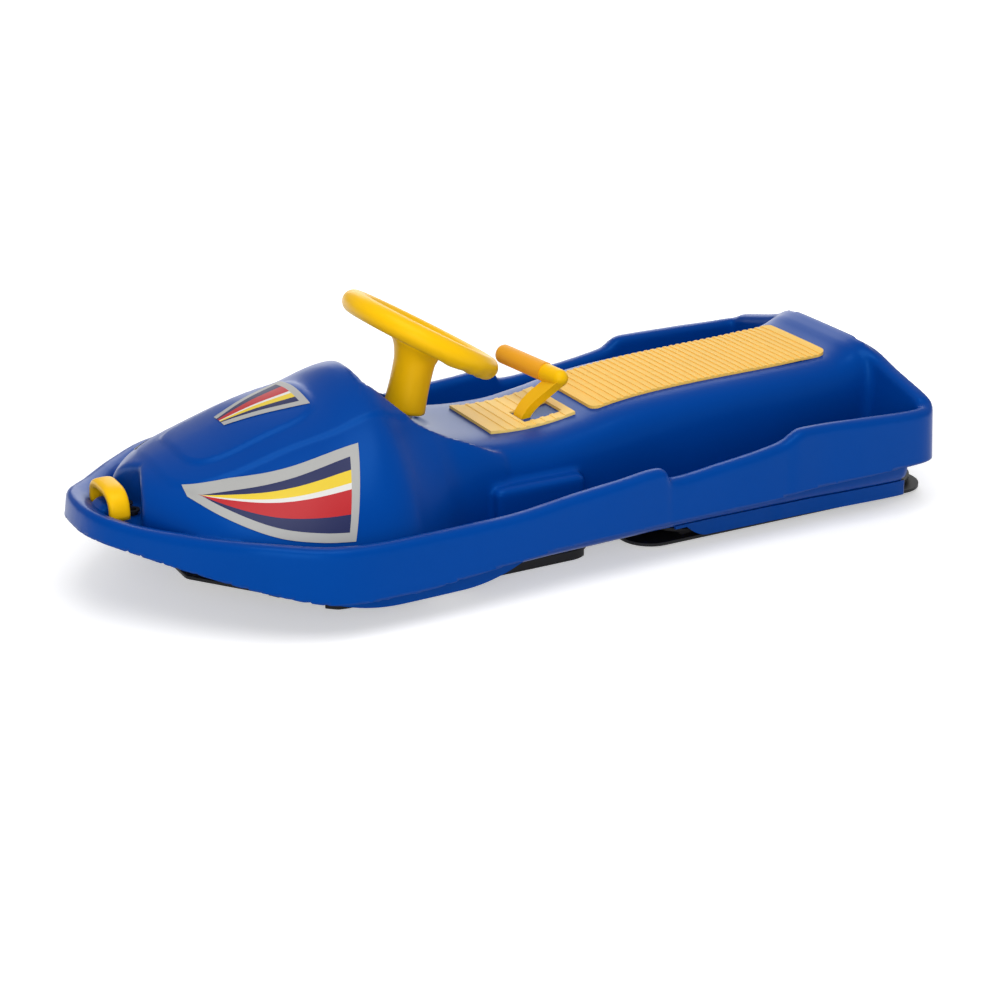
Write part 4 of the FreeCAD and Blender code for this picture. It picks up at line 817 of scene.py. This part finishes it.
@dataclass
class RunnerEdge:
    """Thin black flange round the rear runner."""

    rear: float = -0.562
    front: float = -0.105
    half: float = 0.184
    corner: float = 0.040
    low: float = 0.005
    thick: float = 0.004
    steps: int = 10

    def build(self) -> bpy.types.Object:
        """Builds the flange.

        Returns:
            The finished piece.
        """
        outline = []
        ends = (self.front - self.corner, self.rear + self.corner)
        side = self.half - self.corner
        middles = ((ends[0], side), (ends[1], side), (ends[1], -side), (ends[0], -side))
        for turn, (x, y) in enumerate(middles):
            for k in range(self.steps + 1):
                angle = math.pi / 2 * (turn + k / self.steps)
                outline.append((x + self.corner * math.cos(angle), y + self.corner * math.sin(angle)))
        count = len(outline)
        levels = (self.low, self.low + self.thick)
        vertices = np.concatenate([np.column_stack((outline, np.full(count, z))) for z in levels])
        faces = [(i, (i + 1) % count, count + (i + 1) % count, count + i) for i in range(count)]
        faces += [tuple(range(count))[::-1], tuple(range(count, 2 * count))]
        piece = new_piece("runner_edge", vertices, faces, smooth=False)
        piece.data.materials.append(BLACK.material())
        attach(piece, "body")
        return piece


@dataclass
class Prints:
    """Thin striped films on the hood: one on each flank and one on the crest."""

    shell: Shell
    lift: float = 0.0008
    border: float = 0.009
    columns: int = 48
    rows: int = 14
    tip: float = 0.447
    flank_start: float = 0.26
    crest_start: float = 0.27
    hood_turns: int = 60
    shell_turns: int = 20
    least_slope: float = 0.25
    stride: float = 0.006
    reach: float = 0.001
    # share of the way from the tip, lower edge and upper edge
    flank_rows: tuple[tuple[float, float, float], ...] = (
        (0.0, 0.1480, 0.1570), (0.15, 0.1340, 0.1615), (0.45, 0.1140, 0.1690), (0.75, 0.1040, 0.1790),
        (1.0, 0.0990, 0.1880))
    # lower and upper end of the straight rear edge along the sled
    rear_ends: tuple[float, float] = (0.285, 0.244)
    # place along the sled, half width
    crest_rows: tuple[tuple[float, float], ...] = ((0.272, 0.046), (0.320, 0.033), (0.370, 0.016))
    # stripe of each row of the film, from its lower edge up
    stripes: tuple[int, ...] = (0, 1, 1, 1, 2, 2, 2, 2, 3, 4, 4, 1, 1, 0)

    def build(self) -> list[bpy.types.Object]:
        """Builds the films.

        Returns:
            The finished pieces.
        """
        films = tuple(finish.material() for finish in (BORDER, NAVY, RED, PALE, AMBER))
        flank = self._flank()
        return [self._film("print_left", flank, films),
                self._film("print_right", flank * (1.0, -1.0, 1.0), films),
                self._film("print_crest", self._crest(), films)]

    def _steps(self, width: float) -> np.ndarray:
        """Shares across a film of one width, with a border at each side."""
        edge = min(0.5, self.border / max(width, 1e-6))
        return np.concatenate(([0.0], np.linspace(edge, 1.0 - edge, self.rows - 1), [1.0]))

    def _flank(self) -> np.ndarray:
        """Lays out the left flank's film.

        Returns:
            Its points, a row from the lower edge up at each place from the tip back.
        """
        rows = np.array(self.flank_rows)
        last = 1.0 - self.border / (self.tip - self.rear_ends[0])
        shares = np.concatenate((np.linspace(0.0, last, self.columns), [1.0]))
        low, high = (smooth_line(rows[:, 0], rows[:, k], shares) for k in (1, 2))
        points = []
        for share, base, top in zip(shares, low, high):
            steps = self._steps(top - base)
            ends = self.rear_ends[0] + steps * (self.rear_ends[1] - self.rear_ends[0])
            start = np.full(len(steps), self.flank_start)
            along = self.tip + share * (ends - self.tip)
            points.append(np.column_stack((along, start, base + steps * (top - base))))
        return self._settle(np.concatenate(points), 1)

    def _crest(self) -> np.ndarray:
        """Lays out the film on the hood's crest.

        Returns:
            Its points, a row from right to left at each place from the front back.
        """
        rows = np.array(self.crest_rows)
        rear, front = rows[0, 0], rows[-1, 0]
        places = np.concatenate(([rear], np.linspace(rear + self.border, front, self.columns)))
        points = []
        for x, half in zip(places, smooth_line(rows[:, 0], rows[:, 1], places)):
            steps = self._steps(2 * half)
            start = np.full(len(steps), self.crest_start)
            points.append(np.column_stack((np.full(len(steps), x), half * (2 * steps - 1), start)))
        return self._settle(np.concatenate(points[::-1]), 2)

    def _film(self, name: str, points: np.ndarray,
              films: tuple[bpy.types.Material, ...]) -> bpy.types.Object:
        """Builds a striped film.

        Args:
            name: Name of the piece.
            points: Its points, row after row.
            films: Materials of the border and the stripes.

        Returns:
            The finished piece.
        """
        count = self.rows + 1
        cells = [(i, j) for i in range(self.columns) for j in range(self.rows)]
        starts = [(i * count + j, (i + 1) * count + j) for i, j in cells]
        piece = new_piece(name, points, [(here, there, there + 1, here + 1) for here, there in starts])
        for film in films:
            piece.data.materials.append(film)
        for polygon, (i, j) in zip(piece.data.polygons, cells):
            polygon.material_index = 0 if i == self.columns - 1 else self.stripes[j]
        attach(piece, "body")
        return piece

    def _settle(self, points: np.ndarray, axis: int) -> np.ndarray:
        """Drops points onto the hood and lifts them by the film's thickness.

        Args:
            points: Points outside the hood, one per row.
            axis: Number of the axis along which they drop.

        Returns:
            The settled points.
        """
        for solid, turns in ((self.shell.hood, self.hood_turns), (self.shell.solid, self.shell_turns)):
            for _ in range(turns):
                steep = np.maximum(field_slope(solid, points, self.reach)[:, axis], self.least_slope)
                points[:, axis] -= np.clip(solid(points) / steep, -self.stride, self.stride)
        slope = field_slope(self.shell.solid, points, self.reach)
        return points + self.lift * slope / np.linalg.norm(slope, axis=1)[:, None]


@dataclass
class Wheel:
    """Yellow steering wheel: rim, three spokes, hub and column in one skin."""

    centre: Point = (0.102, 0.0, 0.267)
    tilt: float = 30.8
    rim: float = 0.091
    tube: float = 0.0145
    hub: float = 0.026
    hub_half: float = 0.010
    hub_fillet: float = 0.012
    spoke: float = 0.0095
    spoke_drop: float = 0.004
    spoke_flatness: float = 1.15
    spoke_fillet: float = 0.010
    waves: int = 26
    wave_depth: float = 0.0016
    wave_turn: float = 1.6
    wave_fade: float = 0.4
    # along the column, radius
    column_rows: tuple[tuple[float, float], ...] = (
        (0.178, 0.0268), (0.195, 0.0258), (0.215, 0.0252), (0.240, 0.0258), (0.260, 0.0300), (0.280, 0.0345))
    column_top: float = 0.002
    column_top_round: float = 0.006
    column_foot_round: float = 0.003
    column_fillet: float = 0.014
    step: float = 0.003
    skin_low: Point = (-0.010, -0.114, 0.150)
    skin_high: Point = (0.215, 0.114, 0.340)

    def solid(self, p: np.ndarray) -> np.ndarray:
        """Field of the whole wheel.

        Args:
            p: Points, one per row.

        Returns:
            The field's values.
        """
        tilt = math.radians(self.tilt)
        away = p - self.centre
        high = away[:, 2] * math.cos(tilt) - away[:, 0] * math.sin(tilt)
        ahead = away[:, 0] * math.cos(tilt) + away[:, 2] * math.sin(tilt)
        side = away[:, 1]
        reach = np.hypot(ahead, side)
        turn = np.arctan2(side, -ahead)
        grip = np.clip(self.wave_turn - np.abs(turn), 0.0, self.wave_fade) / self.wave_fade
        grip = grip * np.clip(-high / self.tube, 0.0, 1.0)
        tube = self.tube - self.wave_depth * grip * (0.5 - 0.5 * np.cos(self.waves * turn))
        body = np.hypot(reach - self.rim, high) - tube
        flat = high * self.spoke_flatness + self.spoke_drop
        rear = np.where(ahead > 0, np.inf, np.hypot(side, flat))
        arms = np.maximum(np.minimum(np.hypot(ahead, flat), rear) - self.spoke, reach - self.rim)
        body = soft_min(body, arms, self.spoke_fillet)
        boss = np.maximum(reach - self.hub, np.abs(high + self.spoke_drop) - self.hub_half)
        body = soft_min(body, boss, self.hub_fillet)
        run, off = column_frame(p)
        rows = np.array(self.column_rows)
        post = off - smooth_line(rows[:, 0], rows[:, 1], run)
        post = soft_max(post, rows[0, 0] - run, self.column_foot_round)
        post = soft_max(post, high - self.column_top, self.column_top_round)
        return soft_min(body, post, self.column_fillet)

    def build(self) -> bpy.types.Object:
        """Builds the wheel.

        Returns:
            The finished piece.
        """
        vertices, quads = Skin(self.solid, self.skin_low, self.skin_high, self.step).mesh()
        piece = new_piece("wheel", vertices, quads.tolist())
        piece.data.materials.append(YELLOW.material())
        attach(piece, "steering")
        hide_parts("wheel_top", "wheel_base")
        return piece


@dataclass
class TowHandle:
    """Yellow strap handle that arches over the saddle in the nose."""

    place: float = 0.511
    half_span: float = 0.034
    foot: float = 0.113
    top: float = 0.143
    half_wide: float = 0.0125
    half_thick: float = 0.0062
    arch_power: float = 0.62
    section_power: float = 0.6
    sides: int = 20
    rings: int = 48

    @staticmethod
    def _rounded(value: np.ndarray, power: float) -> np.ndarray:
        """Power of a value that keeps its sign."""
        return np.sign(value) * np.abs(value) ** power

    def build(self) -> bpy.types.Object:
        """Builds the handle.

        Returns:
            The finished piece.
        """
        turn = np.linspace(0.0, math.pi, self.rings)
        side = -self.half_span * self._rounded(np.cos(turn), self.arch_power)
        rise = (self.top - self.foot) * np.abs(np.sin(turn)) ** self.arch_power
        path = np.column_stack((np.full(self.rings, self.place), side, self.foot + rise))
        along = np.gradient(path, axis=0)
        along /= np.linalg.norm(along, axis=1)[:, None]
        out = np.cross(along, (1.0, 0.0, 0.0))
        angle = 2 * math.pi * np.arange(self.sides) / self.sides
        wide = self.half_wide * self._rounded(np.cos(angle), self.section_power)
        thick = self.half_thick * self._rounded(np.sin(angle), self.section_power)
        across = np.column_stack((wide, np.zeros((self.sides, 2))))
        vertices = path[:, None] + across + out[:, None] * thick[:, None]
        faces = []
        for i, k in itertools.product(range(self.rings - 1), range(self.sides)):
            here, after = i * self.sides + k, i * self.sides + (k + 1) % self.sides
            faces.append((here, after, after + self.sides, here + self.sides))
        last = (self.rings - 1) * self.sides
        faces += [tuple(range(self.sides))[::-1], tuple(range(last, last + self.sides))]
        piece = new_piece("tow_strap", vertices.reshape(-1, 3), faces)
        piece.data.materials.append(YELLOW.material())
        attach(piece, "tow_handle")
        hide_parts("tow_handle")
        return piece


@dataclass
class Hardware:
    """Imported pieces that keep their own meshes, each with its finish."""

    finishes: dict[Plastic | Steel, tuple[str, ...]] = field(default_factory=lambda: {
        YELLOW: ("brake_lever",),
        TREAD: ("seat_tread",),
        LIGHTENED_PLATE: ("brake_cover",),
        GRIP: ("brake_grip",),
        BLACK: ("front_ski", "rear_runner", "ski_hub", "tow_cord_guides"),
        BUSH: ("lower_bush", "upper_bush", "thrust_washer"),
        ZINC: ("rear_runner_screws", "steering_bridge", "steering_bridge_screws", "brake_bracket",
               "brake_bracket_screws", "brake_pivot_pin", "brake_pin_clips", "brake_spring",
               "ski_hub_screws", "steering_shaft", "hub_pin", "column_pin", "wheel_screws", "brake_claw",
               "claw_rivets"),
    })

    def dress(self, nodes: dict[str, bpy.types.Object]) -> None:
        """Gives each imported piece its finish.

        Args:
            nodes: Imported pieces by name.
        """
        for finish, names in self.finishes.items():
            material = finish.material()
            for name in names:
                node = nodes[name]
                node.data.materials.clear()
                node.data.materials.append(material)
                LOG.info("dressed %s with %s", name, finish.name)


@dataclass
class Studio:
    """Pale floor, soft light and the camera of the photograph."""

    azimuth: float = 151.5
    elevation: float = 21.53
    distance: float = 2.9578
    target: Point = (-0.0094, 0.0, 0.0275)
    lens: float = 82.73
    sensor: float = 36.0
    floor_size: float = 12.0
    paper: Colour = (0.82, 0.82, 0.83)
    sky_light: float = 0.42
    # distances from the sled between which the floor's glow rises, and the glow at each
    glow_ramp: tuple[tuple[str, float], ...] = (
        ("From Min", 0.55), ("From Max", 1.3), ("To Min", 0.45), ("To Max", 1.0))
    # name, place, side and watts of each soft box
    lamps: tuple[tuple[str, Point, float, float], ...] = (
        ("key", (0.4, 0.9, 2.4), 1.8, 30.0), ("fill", (1.6, 2.4, 0.9), 1.6, 24.0),
        ("back", (-1.3, -2.5, 1.25), 2.2, 26.0))

    def camera(self) -> None:
        """Places the camera at the photograph's viewpoint."""
        data = bpy.data.cameras.new("camera")
        data.lens = self.lens
        data.sensor_width = self.sensor
        camera = bpy.data.objects.new("camera", data)
        bpy.context.collection.objects.link(camera)
        a, e = math.radians(self.azimuth), math.radians(self.elevation)
        back = Vector((math.sin(a) * math.cos(e), -math.cos(a) * math.cos(e), math.sin(e)))
        camera.location = Vector(self.target) + back * self.distance
        camera.rotation_euler = back.to_track_quat("Z", "Y").to_euler()
        bpy.context.scene.camera = camera

    def floor(self) -> None:
        """Lays a pale floor that shows white where no shadow falls."""
        half = self.floor_size / 2
        corners = np.array([(-half, -half, 0), (half, -half, 0), (half, half, 0), (-half, half, 0)])
        piece = new_piece("floor", corners, [(0, 1, 2, 3)])
        material = bpy.data.materials.new("floor_paper")
        material.use_nodes = True
        nodes, links = material.node_tree.nodes, material.node_tree.links
        nodes.clear()
        paper = nodes.new("ShaderNodeBsdfDiffuse")
        paper.inputs["Color"].default_value = (*self.paper, 1.0)
        glow = nodes.new("ShaderNodeEmission")
        path = nodes.new("ShaderNodeLightPath")
        seen, lift = math_node(nodes, "MAXIMUM"), math_node(nodes, "MULTIPLY")
        place = nodes.new("ShaderNodeTexCoord")
        away = nodes.new("ShaderNodeVectorMath")
        away.operation = "LENGTH"
        ramp = nodes.new("ShaderNodeMapRange")
        ramp.interpolation_type = "SMOOTHSTEP"
        for label, value in self.glow_ramp:
            ramp.inputs[label].default_value = value
        links.new(place.outputs["Object"], away.inputs[0])
        links.new(away.outputs["Value"], ramp.inputs["Value"])
        links.new(ramp.outputs["Result"], lift.inputs[1])
        both = nodes.new("ShaderNodeAddShader")
        sink = nodes.new("ShaderNodeOutputMaterial")
        links.new(path.outputs["Is Camera Ray"], seen.inputs[0])
        links.new(path.outputs["Is Glossy Ray"], seen.inputs[1])
        links.new(seen.outputs["Value"], lift.inputs[0])
        links.new(lift.outputs["Value"], glow.inputs["Strength"])
        links.new(paper.outputs["BSDF"], both.inputs[0])
        links.new(glow.outputs["Emission"], both.inputs[1])
        links.new(both.outputs["Shader"], sink.inputs["Surface"])
        piece.data.materials.append(material)

    def world(self) -> None:
        """Sets an even pale world, white to the camera."""
        world = bpy.data.worlds.new("studio")
        bpy.context.scene.world = world
        world.use_nodes = True
        nodes, links = world.node_tree.nodes, world.node_tree.links
        sky = nodes["Background"]
        sky.inputs["Color"].default_value = (1.0, 1.0, 1.0, 1.0)
        path = nodes.new("ShaderNodeLightPath")
        seen = math_node(nodes, "MAXIMUM")
        level = nodes.new("ShaderNodeMapRange")
        level.inputs["To Min"].default_value = self.sky_light
        links.new(path.outputs["Is Camera Ray"], seen.inputs[0])
        links.new(path.outputs["Is Transmission Ray"], seen.inputs[1])
        links.new(seen.outputs["Value"], level.inputs["Value"])
        links.new(level.outputs["Result"], sky.inputs["Strength"])

    def lamp(self, name: str, place: Point, size: float, power: float) -> None:
        """Adds a square soft box aimed at the sled.

        Args:
            name: Name of the lamp.
            place: Where it hangs.
            size: Length of its sides.
            power: Its power in watts.
        """
        data = bpy.data.lights.new(name, "AREA")
        data.size = size
        data.energy = power
        lamp = bpy.data.objects.new(name, data)
        lamp.location = place
        lamp.rotation_euler = (Vector(place) - Vector(self.target)).to_track_quat("Z", "Y").to_euler()
        bpy.context.collection.objects.link(lamp)

    def build(self) -> None:
        """Builds the whole studio."""
        bpy.context.scene.view_settings.view_transform = "Standard"
        self.camera()
        self.floor()
        self.world()
        for lamp in self.lamps:
            self.lamp(*lamp)


def main() -> None:
    """Builds the sled's looks in order and logs the name of each piece it built."""
    logging.basicConfig(level=logging.INFO)
    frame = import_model()
    Hardware().dress(frame["nodes"])
    shell = Shell()
    pieces = [shell.build(), Wheel().build(), TowHandle().build(), RunnerEdge().build()]
    pieces += Keels(shell.hull).build() + Prints(shell).build()
    for piece in pieces:
        LOG.info("built %s", piece.name)
    Studio().build()


if __name__ == "__main__":
    main()
